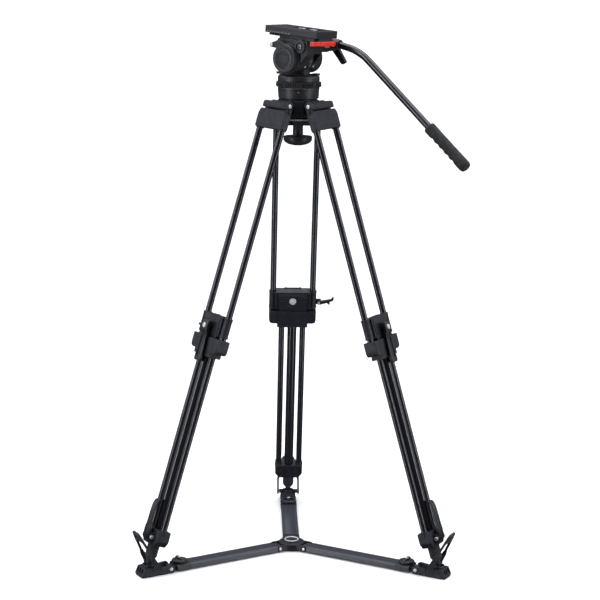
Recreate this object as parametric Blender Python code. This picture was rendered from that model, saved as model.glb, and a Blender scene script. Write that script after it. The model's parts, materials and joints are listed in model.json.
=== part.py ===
"""Two-stage video tripod with a ground spreader, a 75 mm bowl and a fluid head.

Metres, +Z up. The vertical axis of the tripod is the world Z axis and the floor is Z = 0.
Three leg frames are used for the legs: X across the leg, Y out of the leg's flat face, Z up
along the leg. The spreader frames have X radial, Y tangential and Z up. The head has a pan
frame and, inside it, a tilt frame whose +X points to the operator.
"""

import math

import bmesh
import bpy
from mathutils import Matrix, Vector

# ---------------------------------------------------------------- driving dimensions
LEGS = {"back": 90.0, "left": 210.0, "right": 330.0}
LEG_SLOPE = math.radians(17.57)
LEG_REF_RADIUS = 0.1982
LEG_REF_HEIGHT = 0.5641
GAP = 0.0003

# Crown and leg hinge
PIN_RADIUS_FROM_AXIS = 0.0434
PIN_HEIGHT = 1.0200
CROWN_RADIUS = 0.0460
CROWN_TOP = 1.0315
CROWN_BOTTOM = 0.9935
BOWL_CENTRE = 1.0300
BOWL_RADIUS = 0.0375
BALL_RADIUS = 0.0369
BOWL_HOLE = 0.0140
LUG_HALF_WIDTH = 0.0262
LUG_RADIUS = 0.0100
LIP_HALF_WIDTH = 0.0424
LIP_BOTTOM = 1.0165
LIP_INNER = 0.0565
LIP_OUTER = 0.0650
EAR_POCKET = 0.0318

# Leg sections, distances along the leg from its reference point, up is positive
TUBE_X = 0.0465
TUBE_RADIUS = 0.0070
TUBE_TOP = 0.4400
TUBE_END = -0.0760
BLOCK_HALF_WIDTH = 0.0555
BRACKET_BOTTOM = 0.4260
BRACKET_TOP = 0.4680
BRACKET_SHOULDER = 0.4580
EAR_INNER = LUG_HALF_WIDTH + 0.0005
EAR_OUTER = 0.0345
EAR_HALF_DEPTH = 0.0095
PIN_Y = -0.00996
PIN_Z = 0.48136
MID_X = 0.0250
MID_RADIUS = 0.0069
MID_TOP = -0.0120
SLIDING_GAP = 0.0004
SLIDER_HALF_WIDTH = 0.0420
SLIDER_HALF_DEPTH = 0.0130
SLIDER_TOP = 0.0030
SLIDER_BOTTOM = -0.0413
END_TOP = -0.0467
END_BOTTOM = -0.0793
SKIRT_BOTTOM = -0.0897
CLAMP_BACK = -0.0145
CLAMP_FRONT = 0.0155
LOCK_HALF_WIDTH = 0.0335
LOCK_SHOULDER = -0.5080
LOCK_TOP = -0.4840
LOCK_BOTTOM = -0.5200
LOWER_RADIUS = 0.0108
LOWER_TOP = -0.0600
BOOT_RADIUS = 0.0135
FOOT_PIVOT = -0.5620
FOOT_TIP_RADIUS = 0.0060
UPPER_LEVER_PIVOT = -0.0250
LOWER_LEVER_PIVOT = Vector((0.0, 0.0205, -0.5030))
LOWER_LEVER_HALF_WIDTH = 0.0121
CHEEK_INNER = 0.0125
CAM_POCKET_RADIUS = 0.0093
HOOK_PIVOT = Vector((0.0620, 0.0, -0.0290))

# Spreader
HUB_RADIUS = 0.0300
HUB_TOP = 0.0170
CHANNEL_HALF_WIDTH = 0.0190
CHANNEL_LOW = 0.0040
CHANNEL_HIGH = 0.0155
CHANNEL_WALL = 0.0022
CHANNEL_START = 0.0480
CHANNEL_END = 0.3060
BAR_START = 0.0650
BAR_END = 0.3215
PAD_PIN_RADIUS = 0.3220
PAD_START = 0.3265
PAD_END = 0.3925
PAD_PIN_HEIGHT = 0.0105
KNOB_RADIUS_FROM_AXIS = 0.2920
KNOB_RADIUS = 0.0180
STRAP_RADIUS_FROM_AXIS = 0.3600
STRAP_HEIGHT = 0.0240
STRAP_LEAN = math.radians(27.2)

# Head
PAN_REST = math.radians(-39.7)
TILT_REST = math.radians(4.2)
TILT_HEIGHT = 1.1225
BASE_LOW = 1.0345
BASE_HIGH = 1.0597
RING_RADIUS = 0.0500
TURNTABLE_LOW = 1.0715
TURNTABLE_TOP = 1.0865
DRUM_RADIUS = 0.0335
DRUM_LEFT = -0.0455
DRUM_RIGHT = 0.0415
CORE_HALF_WIDTH = 0.0105
BLOCK_TOP = 0.0405
PLATFORM_TOP = 0.0492
PLATE_LOW = 0.0496
PLATE_TOP = 0.0650
PLATE_HALF_WIDTH = 0.0385
PLATE_FRONT = -0.0700
PLATE_REAR = 0.0710
ROSETTE = Vector((0.0330, 0.0, 0.0290))
BAR_PLANE = 0.0605
BAR_TUBE_RADIUS = 0.0078
GRIP_RADIUS = 0.01325
TIE_TUBE_RADIUS = 0.0113

BLACK = (0.018, 0.018, 0.020)
TUBE_BLACK = (0.022, 0.022, 0.024)
RUBBER = (0.030, 0.030, 0.031)
SLATE = (0.040, 0.043, 0.050)
RED = (0.70, 0.03, 0.02)

# ---------------------------------------------------------------- shape helpers


def clear_scene():
    for old in list(bpy.data.objects):
        bpy.data.objects.remove(old, do_unlink=True)


def loose(points, faces):
    """A temporary object that one of the pieces is made from."""
    mesh = bpy.data.meshes.new("loose")
    mesh.from_pydata([tuple(p) for p in points], [], faces)
    work = bmesh.new()
    work.from_mesh(mesh)
    bmesh.ops.recalc_face_normals(work, faces=work.faces)
    work.to_mesh(mesh)
    work.free()
    shape = bpy.data.objects.new("loose", mesh)
    bpy.context.scene.collection.objects.link(shape)
    return shape


def slab(outline, across, low, high):
    """A polygon pulled straight along one axis; the outline holds the other two coordinates."""
    order = {"x": (2, 0, 1), "y": (0, 2, 1), "z": (0, 1, 2)}[across]
    points = []
    for level in (low, high):
        for first, second in outline:
            raw = (first, second, level)
            points.append((raw[order[0]], raw[order[1]], raw[order[2]]))
    count = len(outline)
    faces = [tuple(range(count)), tuple(range(count, 2 * count))]
    for i in range(count):
        j = (i + 1) % count
        faces.append((i, j, count + j, count + i))
    return loose(points, faces)


def box(x0, x1, y0, y1, z0, z1, chamfer=0.0):
    shape = slab([(x0, y0), (x1, y0), (x1, y1), (x0, y1)], "z", z0, z1)
    if chamfer:
        work = bmesh.new()
        work.from_mesh(shape.data)
        bmesh.ops.bevel(work, geom=work.edges[:], offset=chamfer, segments=1, affect="EDGES")
        work.to_mesh(shape.data)
        work.free()
    return shape


def turned(profile, steps=28, place=None):
    """A profile of (radius, height) pairs turned round the Z axis, then placed."""
    points = []
    rows = []
    for radius, height in profile:
        if radius < 1e-9:
            rows.append([len(points)])
            points.append(Vector((0.0, 0.0, height)))
            continue
        rows.append(list(range(len(points), len(points) + steps)))
        for i in range(steps):
            angle = 2 * math.pi * i / steps
            points.append(Vector((radius * math.cos(angle), radius * math.sin(angle), height)))
    faces = []
    closed = profile[0][0] > 1e-9 and profile[-1][0] > 1e-9
    pairs = list(zip(rows, rows[1:]))
    if closed:
        pairs.append((rows[-1], rows[0]))
    for low, high in pairs:
        for i in range(steps):
            j = (i + 1) % steps
            ring = [low[i % len(low)], low[j % len(low)], high[j % len(high)], high[i % len(high)]]
            faces.append(tuple(dict.fromkeys(ring)))
    if place is not None:
        points = [place @ p for p in points]
    return loose(points, faces)


def along(start, end):
    """A frame at start whose Z axis runs to end."""
    start = Vector(start)
    direction = Vector(end) - start
    turn = direction.to_track_quat("Z", "Y").to_matrix().to_4x4()
    return Matrix.Translation(start) @ turn


def rod(start, end, radius, steps=16):
    length = (Vector(end) - Vector(start)).length
    return turned([(0, 0), (radius, 0), (radius, length), (0, length)], steps, along(start, end))


def swept(path, radius, steps=16):
    """A round bar along a path that stays in the XZ plane."""
    path = [Vector(p) for p in path]
    points = []
    for i, spot in enumerate(path):
        before = path[max(i - 1, 0)]
        after = path[min(i + 1, len(path) - 1)]
        heading = (after - before).normalized()
        side = Vector((0.0, 1.0, 0.0))
        upward = side.cross(heading).normalized()
        for k in range(steps):
            angle = 2 * math.pi * k / steps
            points.append(spot + side * radius * math.cos(angle) + upward * radius * math.sin(angle))
    faces = [tuple(range(steps)), tuple(range((len(path) - 1) * steps, len(path) * steps))]
    for i in range(len(path) - 1):
        for k in range(steps):
            j = (k + 1) % steps
            low = i * steps
            high = low + steps
            faces.append((low + k, low + j, high + j, high + k))
    return loose(points, faces)


def material_for(name, colour, roughness, metallic):
    made = bpy.data.materials.new(name)
    made.use_nodes = True
    shader = made.node_tree.nodes["Principled BSDF"]
    shader.inputs["Base Color"].default_value = (*colour, 1.0)
    shader.inputs["Roughness"].default_value = roughness
    shader.inputs["Metallic"].default_value = metallic
    return made


def piece(name, solids, cuts, look, frame=None, origin=(0.0, 0.0, 0.0)):
    """One named piece: solids joined, cuts taken away, set in its frame with its origin there."""
    base = solids[0]
    for operation, others in (("UNION", solids[1:]), ("DIFFERENCE", cuts)):
        for other in others:
            change = base.modifiers.new(operation, "BOOLEAN")
            change.operation = operation
            change.solver = "EXACT"
            change.object = other
    bpy.context.view_layer.update()
    graph = bpy.context.evaluated_depsgraph_get()
    mesh = bpy.data.meshes.new_from_object(base.evaluated_get(graph))
    for shape in [*solids, *cuts]:
        bpy.data.objects.remove(shape, do_unlink=True)
    mesh.name = name
    shift = Matrix.Translation(Vector(origin))
    mesh.transform(shift.inverted())
    mesh.materials.clear()
    mesh.materials.append(material_for(name, *look))
    mesh.shade_smooth()
    mesh.set_sharp_from_angle(angle=math.radians(30))
    made = bpy.data.objects.new(name, mesh)
    made.matrix_world = (frame or Matrix.Identity(4)) @ shift
    bpy.context.scene.collection.objects.link(made)
    return made


def leg_frame(azimuth):
    around = math.radians(azimuth)
    radial = Vector((math.cos(around), math.sin(around), 0.0))
    tangent = Vector((-math.sin(around), math.cos(around), 0.0))
    up = Vector((0.0, 0.0, 1.0))
    along_leg = up * math.cos(LEG_SLOPE) - radial * math.sin(LEG_SLOPE)
    outward = radial * math.cos(LEG_SLOPE) + up * math.sin(LEG_SLOPE)
    spot = radial * LEG_REF_RADIUS + up * LEG_REF_HEIGHT
    rows = Matrix((-tangent, outward, along_leg)).transposed().to_4x4()
    return Matrix.Translation(spot) @ rows


def radial_frame(azimuth):
    return Matrix.Rotation(math.radians(azimuth), 4, "Z")


def mirrored(low, high):
    """The two ranges of a pair of equal features either side of a middle plane."""
    return ((low, high), (-high, -low))


# ---------------------------------------------------------------- crown and tie-down


def build_crown():
    wall = [(0.0, CROWN_BOTTOM), (0.034, CROWN_BOTTOM), (CROWN_RADIUS, 1.006)]
    wall += [(CROWN_RADIUS, CROWN_TOP - 0.0012), (CROWN_RADIUS - 0.0012, CROWN_TOP), (0.0, CROWN_TOP)]
    solids = [turned(wall)]
    for azimuth in LEGS.values():
        arm = radial_frame(azimuth)
        shapes = [
            box(0.0340, LIP_INNER + 0.001, -LUG_HALF_WIDTH, LUG_HALF_WIDTH, LIP_BOTTOM + 0.0003, 1.0300),
            slab(
                [
                    (LIP_INNER, LIP_BOTTOM),
                    (LIP_OUTER, LIP_BOTTOM),
                    (LIP_OUTER - 0.0015, 1.0265),
                    (LIP_OUTER - 0.0055, 1.0296),
                    (LIP_INNER, 1.0296),
                ],
                "y",
                -LIP_HALF_WIDTH,
                LIP_HALF_WIDTH,
            ),
            rod(
                (PIN_RADIUS_FROM_AXIS, -LUG_HALF_WIDTH + 0.0004, PIN_HEIGHT),
                (PIN_RADIUS_FROM_AXIS, LUG_HALF_WIDTH - 0.0004, PIN_HEIGHT),
                LUG_RADIUS,
            ),
            box(0.0330, PIN_RADIUS_FROM_AXIS, -0.0240, 0.0240, 1.0104, 1.0200),
        ]
        for shape in shapes:
            shape.data.transform(arm)
        solids += shapes
    rows = 8
    bowl = [(0.0, BOWL_CENTRE - BOWL_RADIUS)]
    for i in range(1, rows + 1):
        angle = math.pi / 2 * i / rows
        bowl.append((BOWL_RADIUS * math.sin(angle), BOWL_CENTRE - BOWL_RADIUS * math.cos(angle)))
    bowl += [(BOWL_RADIUS, 1.06), (0.0, 1.06)]
    cuts = [turned(bowl), rod((0, 0, 0.96), (0, 0, 1.02), BOWL_HOLE)]
    for azimuth in LEGS.values():
        for low, high in mirrored(LUG_HALF_WIDTH + 0.0001, 0.0352):
            pocket = box(EAR_POCKET, LIP_INNER, low, high, 0.9900, 1.0400)
            pocket.data.transform(radial_frame(azimuth))
            cuts.append(pocket)
    piece("crown", solids, cuts, (BLACK, 0.55, 0.3))


def build_tie_down():
    rows = 6
    ball = [(0.0, BOWL_CENTRE - BALL_RADIUS)]
    for i in range(1, rows + 1):
        angle = math.pi / 2 * i / rows
        ball.append((BALL_RADIUS * math.sin(angle), BOWL_CENTRE - BALL_RADIUS * math.cos(angle)))
    ball += [(BALL_RADIUS, BASE_LOW - GAP), (0.0, BASE_LOW - GAP)]
    stud = rod((0, 0, 0.958), (0, 0, 1.010), 0.0058, 12)
    centre = (0.0, 0.0, BOWL_CENTRE)
    piece("half_ball", [turned(ball, 24), stud], [], (BLACK, 0.45, 0.6), origin=centre)
    flange = [(0.0088, 0.9868), (0.0290, 0.9868), (0.0300, 0.9880), (0.0300, 0.9908), (0.0088, 0.9908)]
    piece("tie_down_flange", [turned(flange, 24)], [], (BLACK, 0.4, 0.6), origin=centre)
    knob = [(0.0, 0.9310), (0.0120, 0.9316), (0.0230, 0.9345), (0.0300, 0.9395), (0.0317, 0.9425)]
    knob += [(0.0317, 0.9505), (0.0300, 0.9520), (0.0150, 0.9500), (TIE_TUBE_RADIUS, 0.9525)]
    knob += [(TIE_TUBE_RADIUS, 0.9858), (0.0063, 0.9858), (0.0063, 0.9560), (0.0, 0.9560)]
    scallops = []
    for i in range(3):
        turn = Matrix.Rotation(math.radians(60 + 120 * i), 4, "Z")
        shape = rod((0.0405, 0, 0.92), (0.0405, 0, 0.96), 0.0130, 12)
        shape.data.transform(turn)
        scallops.append(shape)
    piece("tie_down_handle", [turned(knob, 24)], scallops, (BLACK, 0.5, 0.1), origin=(0, 0, 0.94))


# ---------------------------------------------------------------- legs


def build_upper_section(side, frame):
    wide = BLOCK_HALF_WIDTH
    outline = [(-wide, BRACKET_BOTTOM), (wide, BRACKET_BOTTOM), (wide, BRACKET_SHOULDER)]
    outline += [(0.0490, BRACKET_TOP), (-0.0490, BRACKET_TOP), (-wide, BRACKET_SHOULDER)]
    solids = [slab(outline, "y", -0.0075, 0.0095)]
    cuts = []
    for x in (-TUBE_X, TUBE_X):
        solids.append(rod((x, 0, BRACKET_BOTTOM - 0.002), (x, 0, BRACKET_SHOULDER + 0.004), 0.0092))
        cuts.append(rod((x, 0, BRACKET_BOTTOM - 0.01), (x, 0, TUBE_TOP + 0.0005), TUBE_RADIUS + GAP))
    deep = EAR_HALF_DEPTH
    for low, high in mirrored(EAR_INNER, EAR_OUTER):
        ear = [(PIN_Y - deep, 0.4560), (0.0050, 0.4560), (0.0030, 0.4640), (-0.0008, 0.4700)]
        ear += [(PIN_Y + deep, 0.4870), (PIN_Y + 0.0050, PIN_Z + deep), (PIN_Y, PIN_Z + 0.0110)]
        ear += [(PIN_Y - 0.0050, PIN_Z + deep), (PIN_Y - deep, 0.4870)]
        solids.append(slab(ear, "x", low, high))
        middle = (low + high) / 2
        outer = math.copysign(EAR_OUTER + 0.0021, middle)
        solids.append(rod((middle, PIN_Y, PIN_Z), (outer, PIN_Y, PIN_Z), 0.0044, 10))
    name = f"leg_bracket_{side}"
    piece(name, solids, cuts, (BLACK, 0.6, 0.2), frame, (0, PIN_Y, PIN_Z))
    for tag, x in (("a", -TUBE_X), ("b", TUBE_X)):
        tube = rod((x, 0, TUBE_END), (x, 0, TUBE_TOP), TUBE_RADIUS)
        piece(f"upper_tube_{side}_{tag}", [tube], [], (TUBE_BLACK, 0.3, 0.8), frame)
    corner = 0.0120
    block = [(-wide, END_TOP), (-wide, END_BOTTOM + corner), (corner - wide, END_BOTTOM)]
    block += [(wide - corner, END_BOTTOM), (wide, END_BOTTOM + corner), (wide, END_TOP)]
    solids = [
        slab(block, "y", CLAMP_BACK, CLAMP_FRONT),
        box(-0.0360, 0.0360, -0.0140, 0.0145, SKIRT_BOTTOM, END_BOTTOM + 0.002),
    ]
    window = box(-0.0329, 0.0329, -0.0112, 0.0112, SKIRT_BOTTOM - 0.01, END_TOP + 0.01)
    cuts = [window]
    for x in (-TUBE_X, TUBE_X):
        cuts.append(rod((x, 0, TUBE_END - 0.0005), (x, 0, END_TOP + 0.01), TUBE_RADIUS + GAP))
    piece(f"end_clamp_{side}", solids, cuts, (BLACK, 0.6, 0.1), frame)


def build_mid_section(side, frame):
    wide = SLIDER_HALF_WIDTH
    outline = [(-wide, SLIDER_BOTTOM), (wide, SLIDER_BOTTOM), (wide, SLIDER_TOP)]
    outline += [(0.0350, 0.0045), (0.0300, 0.0055), (-0.0300, 0.0055), (-0.0350, 0.0045)]
    outline += [(-wide, SLIDER_TOP)]
    solids = [slab(outline, "y", -SLIDER_HALF_DEPTH, SLIDER_HALF_DEPTH)]
    solids.append(rod((0, 0.0120, UPPER_LEVER_PIVOT), (0, 0.0162, UPPER_LEVER_PIVOT), 0.0085))
    cuts = []
    below = SLIDER_BOTTOM - 0.01
    for x in (-TUBE_X, TUBE_X):
        solids.append(rod((x, 0, SLIDER_BOTTOM), (x, 0, SLIDER_TOP), 0.0098))
        cuts.append(rod((x, 0, below), (x, 0, SLIDER_TOP + 0.01), TUBE_RADIUS + SLIDING_GAP))
    for x in (-MID_X, MID_X):
        cuts.append(rod((x, 0, below), (x, 0, MID_TOP + 0.0005), MID_RADIUS + GAP))
    if side == "back":
        solids.append(box(0.0480, 0.0670, 0.0036, 0.0080, -0.0360, -0.0220))
    if side == "left":
        solids.append(rod((0.0540, 0, -0.0290), (0.0680, 0, -0.0290), 0.0030, 12))
    piece(f"mid_slider_{side}", solids, cuts, (BLACK, 0.6, 0.1), frame)
    wide = LOCK_HALF_WIDTH
    block = [(-wide, LOCK_TOP), (-wide, LOCK_SHOULDER), (-0.0240, LOCK_BOTTOM)]
    block += [(0.0240, LOCK_BOTTOM), (wide, LOCK_SHOULDER), (wide, LOCK_TOP)]
    solids = [slab(block, "y", -0.0150, CLAMP_FRONT)]
    for x in (-MID_X, MID_X):
        solids.append(rod((x, 0, LOCK_TOP - 0.016), (x, 0, MID_TOP), MID_RADIUS))
    for low, high in mirrored(CHEEK_INNER, 0.0165):
        cheek = [(0.0140, -0.5120), (0.0245, -0.5100), (0.0265, -0.5030)]
        cheek += [(0.0245, -0.4960), (0.0140, -0.4920)]
        solids.append(slab(cheek, "x", low, high))
    for low, high in mirrored(0.0150, 0.0200):
        solids.append(box(low, high, -0.0210, -0.0140, -0.5150, -0.4890))
    bore = rod((0, 0, LOCK_BOTTOM - 0.01), (0, 0, LOCK_TOP + 0.01), LOWER_RADIUS + GAP, 20)
    edge = Vector((CHEEK_INNER - 0.0001, 0, 0))
    pocket = rod(LOWER_LEVER_PIVOT - edge, LOWER_LEVER_PIVOT + edge, CAM_POCKET_RADIUS)
    piece(f"mid_frame_{side}", solids, [bore, pocket], (TUBE_BLACK, 0.4, 0.6), frame)
    grip = [(-0.0130, -0.0150), (-0.0060, -0.0120), (0.0060, -0.0120), (0.0130, -0.0150)]
    grip += [(0.0140, -0.0360), (0.0115, -0.0560), (0.0140, -0.0980), (0.0090, -0.1040)]
    grip += [(-0.0090, -0.1040), (-0.0140, -0.0980), (-0.0115, -0.0560), (-0.0140, -0.0360)]
    lever = slab(grip, "y", 0.0168, 0.0235)
    rib = box(-0.0100, 0.0100, 0.0230, 0.0290, -0.0360, -0.0150)
    spot = (0, 0.0200, UPPER_LEVER_PIVOT)
    piece(f"upper_lever_{side}", [lever, rib], [], (BLACK, 0.5, 0.0), frame, spot)
    arm = [(0.0170, -0.5110), (0.0235, -0.5110), (0.0262, -0.5030), (0.0275, -0.4850), (0.0262, -0.4600)]
    arm += [(0.0252, -0.4300), (0.0215, -0.4200), (0.0165, -0.4190), (0.0160, -0.4225), (0.0190, -0.4260)]
    arm += [(0.0200, -0.4320), (0.0210, -0.4600), (0.0215, -0.4800), (0.0170, -0.4950)]
    name = f"lower_lever_{side}"
    lever = slab(arm, "x", -LOWER_LEVER_HALF_WIDTH, LOWER_LEVER_HALF_WIDTH)
    piece(name, [lever], [], (BLACK, 0.5, 0.0), frame, LOWER_LEVER_PIVOT)


def build_lower_section(side, frame):
    tip = FOOT_PIVOT - FOOT_TIP_RADIUS
    foot = [(0.0, tip), (0.0042, tip + 0.0016), (FOOT_TIP_RADIUS, tip + 0.0050), (0.0090, -0.5540)]
    foot += [(BOOT_RADIUS, -0.5450), (BOOT_RADIUS, LOCK_BOTTOM - 0.0015), (0.0125, LOCK_BOTTOM - 0.0005)]
    foot += [(LOWER_RADIUS, LOCK_BOTTOM - 0.0005), (LOWER_RADIUS, LOWER_TOP), (0.0, LOWER_TOP)]
    piece(f"lower_leg_{side}", [turned(foot, 16)], [], (TUBE_BLACK, 0.35, 0.6), frame, (0, 0, FOOT_PIVOT))


def build_hook(frame):
    arm = [(0.0600, -0.0335), (0.0660, -0.0335), (0.0900, -0.0255), (0.0960, -0.0230), (0.0975, -0.0150)]
    arm += [(0.0935, -0.0145), (0.0915, -0.0195), (0.0870, -0.0205), (0.0650, -0.0245), (0.0600, -0.0245)]
    arm += [(0.0580, -0.0262), (0.0572, -0.0290), (0.0580, -0.0318)]
    piece("transport_hook", [slab(arm, "y", -0.0030, 0.0032)], [], (BLACK, 0.5, 0.2), frame, HOOK_PIVOT)


# ---------------------------------------------------------------- spreader


def build_hub():
    rim = [(0.0, 0.0), (HUB_RADIUS - 0.001, 0.0), (HUB_RADIUS, 0.001), (HUB_RADIUS, HUB_TOP - 0.002)]
    rim += [(HUB_RADIUS - 0.002, HUB_TOP), (0.0175, HUB_TOP), (0.0165, 0.0215), (0.0100, 0.0215)]
    rim += [(0.0090, 0.0190), (0.0, 0.0190)]
    solids = [turned(rim, 24)]
    for azimuth in LEGS.values():
        for low, high in mirrored(0.0150, 0.0190):
            ear = [(0.0200, 0.0020), (0.0400, 0.0020), (0.0460, 0.0060), (0.0460, 0.0130), (0.0420, 0.0160)]
            ear += [(0.0200, 0.0160)]
            shape = slab(ear, "y", low, high)
            shape.data.transform(radial_frame(azimuth))
            solids.append(shape)
    piece("spreader_hub", solids, [], (BLACK, 0.5, 0.2))


def build_spreader_arm(side, azimuth):
    frame = radial_frame(azimuth)
    half = CHANNEL_HALF_WIDTH
    edge = 0.0030
    section = [(-half, CHANNEL_LOW), (half, CHANNEL_LOW), (half, CHANNEL_HIGH - edge)]
    section += [(half - edge, CHANNEL_HIGH), (edge - half, CHANNEL_HIGH), (-half, CHANNEL_HIGH - edge)]
    solids = [
        slab(section, "x", CHANNEL_START, CHANNEL_END),
        box(0.0330, CHANNEL_START + 0.006, -0.0146, 0.0146, 0.0050, 0.0140, 0.0015),
        rod(
            (KNOB_RADIUS_FROM_AXIS, 0, CHANNEL_HIGH - 0.001),
            (KNOB_RADIUS_FROM_AXIS, 0, CHANNEL_HIGH + 0.0015),
            0.0100,
        ),
    ]
    inner = half - CHANNEL_WALL
    floor = CHANNEL_LOW + CHANNEL_WALL
    roof = CHANNEL_HIGH - CHANNEL_WALL
    tunnel = box(BAR_START - 0.004, CHANNEL_END + 0.01, -inner, inner, floor, roof)
    piece(f"spreader_channel_{side}", solids, [tunnel], (SLATE, 0.45, 0.5), frame)
    low = floor + GAP
    high = roof - GAP
    width = inner - GAP
    blade = box(BAR_START, CHANNEL_END - 0.001, -width, width, low, high)
    tongue = box(CHANNEL_END - 0.003, BAR_END, -0.0118, 0.0118, low + 0.0002, high - 0.0002, 0.0008)
    piece(f"spreader_bar_{side}", [blade, tongue], [], (SLATE, 0.45, 0.5), frame)
    base = CHANNEL_HIGH + 0.0020
    dish = [(0.0, base), (KNOB_RADIUS - 0.001, base), (KNOB_RADIUS, base + 0.001)]
    dish += [(KNOB_RADIUS, base + 0.0045), (KNOB_RADIUS - 0.003, base + 0.0062), (0.0, base + 0.0070)]
    knob = turned(dish, 20, Matrix.Translation((KNOB_RADIUS_FROM_AXIS, 0, 0)))
    wing = [(-0.0150, base + 0.0035), (0.0150, base + 0.0035), (0.0120, base + 0.0100)]
    wing += [(0.0050, base + 0.0115), (-0.0050, base + 0.0115), (-0.0120, base + 0.0100)]
    bow = slab(wing, "x", KNOB_RADIUS_FROM_AXIS - 0.0030, KNOB_RADIUS_FROM_AXIS + 0.0030)
    spot = (KNOB_RADIUS_FROM_AXIS, 0, base)
    piece(f"spreader_knob_{side}", [knob, bow], [], (BLACK, 0.5, 0.0), frame, spot)


def build_pad(side, azimuth):
    frame = radial_frame(azimuth)
    half = CHANNEL_HALF_WIDTH
    foot_radius = LEG_REF_RADIUS - FOOT_PIVOT * math.sin(LEG_SLOPE)
    wedge = [(PAD_START + 0.018, 0.0), (PAD_END, 0.0), (PAD_END, 0.0060), (0.3860, 0.0210)]
    wedge += [(0.3500, 0.0210), (PAD_START + 0.018, 0.0100)]
    solids = [
        box(PAD_START, PAD_END - 0.01, -half, half, 0.0, 0.0060),
        slab(wedge, "y", -half + 0.0005, half - 0.0005),
        rod((foot_radius, 0, 0.0190), (foot_radius, 0, 0.0255), 0.0155, 20),
    ]
    cuts = [rod((foot_radius, 0, 0.0205), (foot_radius, 0, 0.0300), 0.0120)]
    for low, high in mirrored(0.0125, half):
        ear = [(PAD_PIN_RADIUS - 0.0090, 0.0040), (PAD_PIN_RADIUS - 0.0060, 0.0010), (0.3460, 0.0010)]
        ear += [(0.3460, 0.0160), (PAD_PIN_RADIUS - 0.0040, 0.0185), (PAD_PIN_RADIUS - 0.0090, 0.0150)]
        solids.append(slab(ear, "y", low, high))
        middle = (low + high) / 2
        outer = math.copysign(half + 0.0022, middle)
        start = (PAD_PIN_RADIUS, middle, PAD_PIN_HEIGHT)
        solids.append(rod(start, (PAD_PIN_RADIUS, outer, PAD_PIN_HEIGHT), 0.0040, 10))
    for low, high in mirrored(0.0155, 0.0185):
        cheek = [(0.3490, 0.0150), (0.3710, 0.0150), (0.3660, 0.0300), (0.3540, 0.0300)]
        solids.append(slab(cheek, "y", low, high))
        middle = (low + high) / 2
        outer = math.copysign(0.0225, middle)
        start = (STRAP_RADIUS_FROM_AXIS, middle, STRAP_HEIGHT)
        solids.append(rod(start, (STRAP_RADIUS_FROM_AXIS, outer, STRAP_HEIGHT), 0.0050, 10))
    spot = (foot_radius, 0, LEG_REF_HEIGHT + FOOT_PIVOT * math.cos(LEG_SLOPE))
    piece(f"spreader_pad_{side}", solids, cuts, (BLACK, 0.6, 0.0), frame, spot)
    pivot = (STRAP_RADIUS_FROM_AXIS, 0.0, STRAP_HEIGHT)
    lean = Matrix.Translation(pivot) @ Matrix.Rotation(STRAP_LEAN, 4, "Y")
    yoke = [(-0.0275, -0.0060), (-0.0275, 0.0300), (-0.0205, 0.0700), (-0.0150, 0.0860), (-0.0110, 0.0890)]
    yoke += [(0.0110, 0.0890), (0.0150, 0.0860), (0.0205, 0.0700), (0.0275, 0.0300), (0.0275, -0.0060)]
    yoke += [(0.0229, -0.0060), (0.0229, 0.0280), (0.0155, 0.0640), (-0.0155, 0.0640), (-0.0229, 0.0280)]
    yoke += [(-0.0229, -0.0060)]
    solids = [slab(yoke, "x", -0.0025, 0.0025)]
    for low, high in mirrored(0.0229, 0.0275):
        solids.append(rod((0, low, 0), (0, high, 0), 0.0075, 12))
    slot = box(-0.01, 0.01, -0.0090, 0.0090, 0.0720, 0.0810)
    for shape in [*solids, slot]:
        shape.data.transform(lean)
    piece(f"foot_strap_{side}", solids, [slot], (RUBBER, 0.8, 0.0), frame, pivot)


# ---------------------------------------------------------------- head


def build_pan_group(pan):
    core = 0.0395
    base = [(0.0, BASE_LOW), (0.0430, BASE_LOW), (0.0443, BASE_LOW + 0.0012), (0.0460, BASE_HIGH - 0.001)]
    top = TURNTABLE_LOW - 0.0004
    base += [(0.0452, BASE_HIGH), (core, BASE_HIGH), (core, top), (0.0, top)]
    piece("pan_base", [turned(base)], [], (BLACK, 0.5, 0.2), pan)
    low = BASE_HIGH + 0.0004
    high = TURNTABLE_LOW - 0.0006
    ring = [(core + 0.0005, low), (RING_RADIUS - 0.0015, low), (RING_RADIUS, low + 0.0015)]
    ring += [(RING_RADIUS, high - 0.0015), (RING_RADIUS - 0.0015, high), (core + 0.0005, high)]
    piece("pan_drag_ring", [turned(ring)], [], (BLACK, 0.6, 0.0), pan, (0, 0, low))
    table = [(0.0, TURNTABLE_LOW), (0.0455, TURNTABLE_LOW), (0.0460, 1.0722), (0.0460, 1.0820)]
    table += [(0.0415, TURNTABLE_TOP), (0.0, TURNTABLE_TOP)]
    solids = [
        turned(table),
        box(-0.0230, 0.0230, -CORE_HALF_WIDTH, CORE_HALF_WIDTH, TURNTABLE_TOP - 0.002, TILT_HEIGHT - 0.018),
        rod((0, -CORE_HALF_WIDTH, TILT_HEIGHT), (0, CORE_HALF_WIDTH, TILT_HEIGHT), DRUM_RADIUS, 28),
    ]
    piece("pan_body", solids, [], (BLACK, 0.5, 0.2), pan, (0, 0, TILT_HEIGHT))
    bottom = TURNTABLE_TOP + 0.0006
    pivot = (-0.0280, -0.0230, bottom)
    outline = [(-0.0225, -0.0275), (-0.0225, -0.0185), (-0.0330, -0.0175), (-0.0425, -0.0215)]
    outline += [(-0.0430, -0.0265), (-0.0330, -0.0285)]
    lever = slab(outline, "z", bottom, bottom + 0.0050)
    piece("pan_lock_lever", [lever], [], (BLACK, 0.5, 0.0), pan, pivot)


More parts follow.
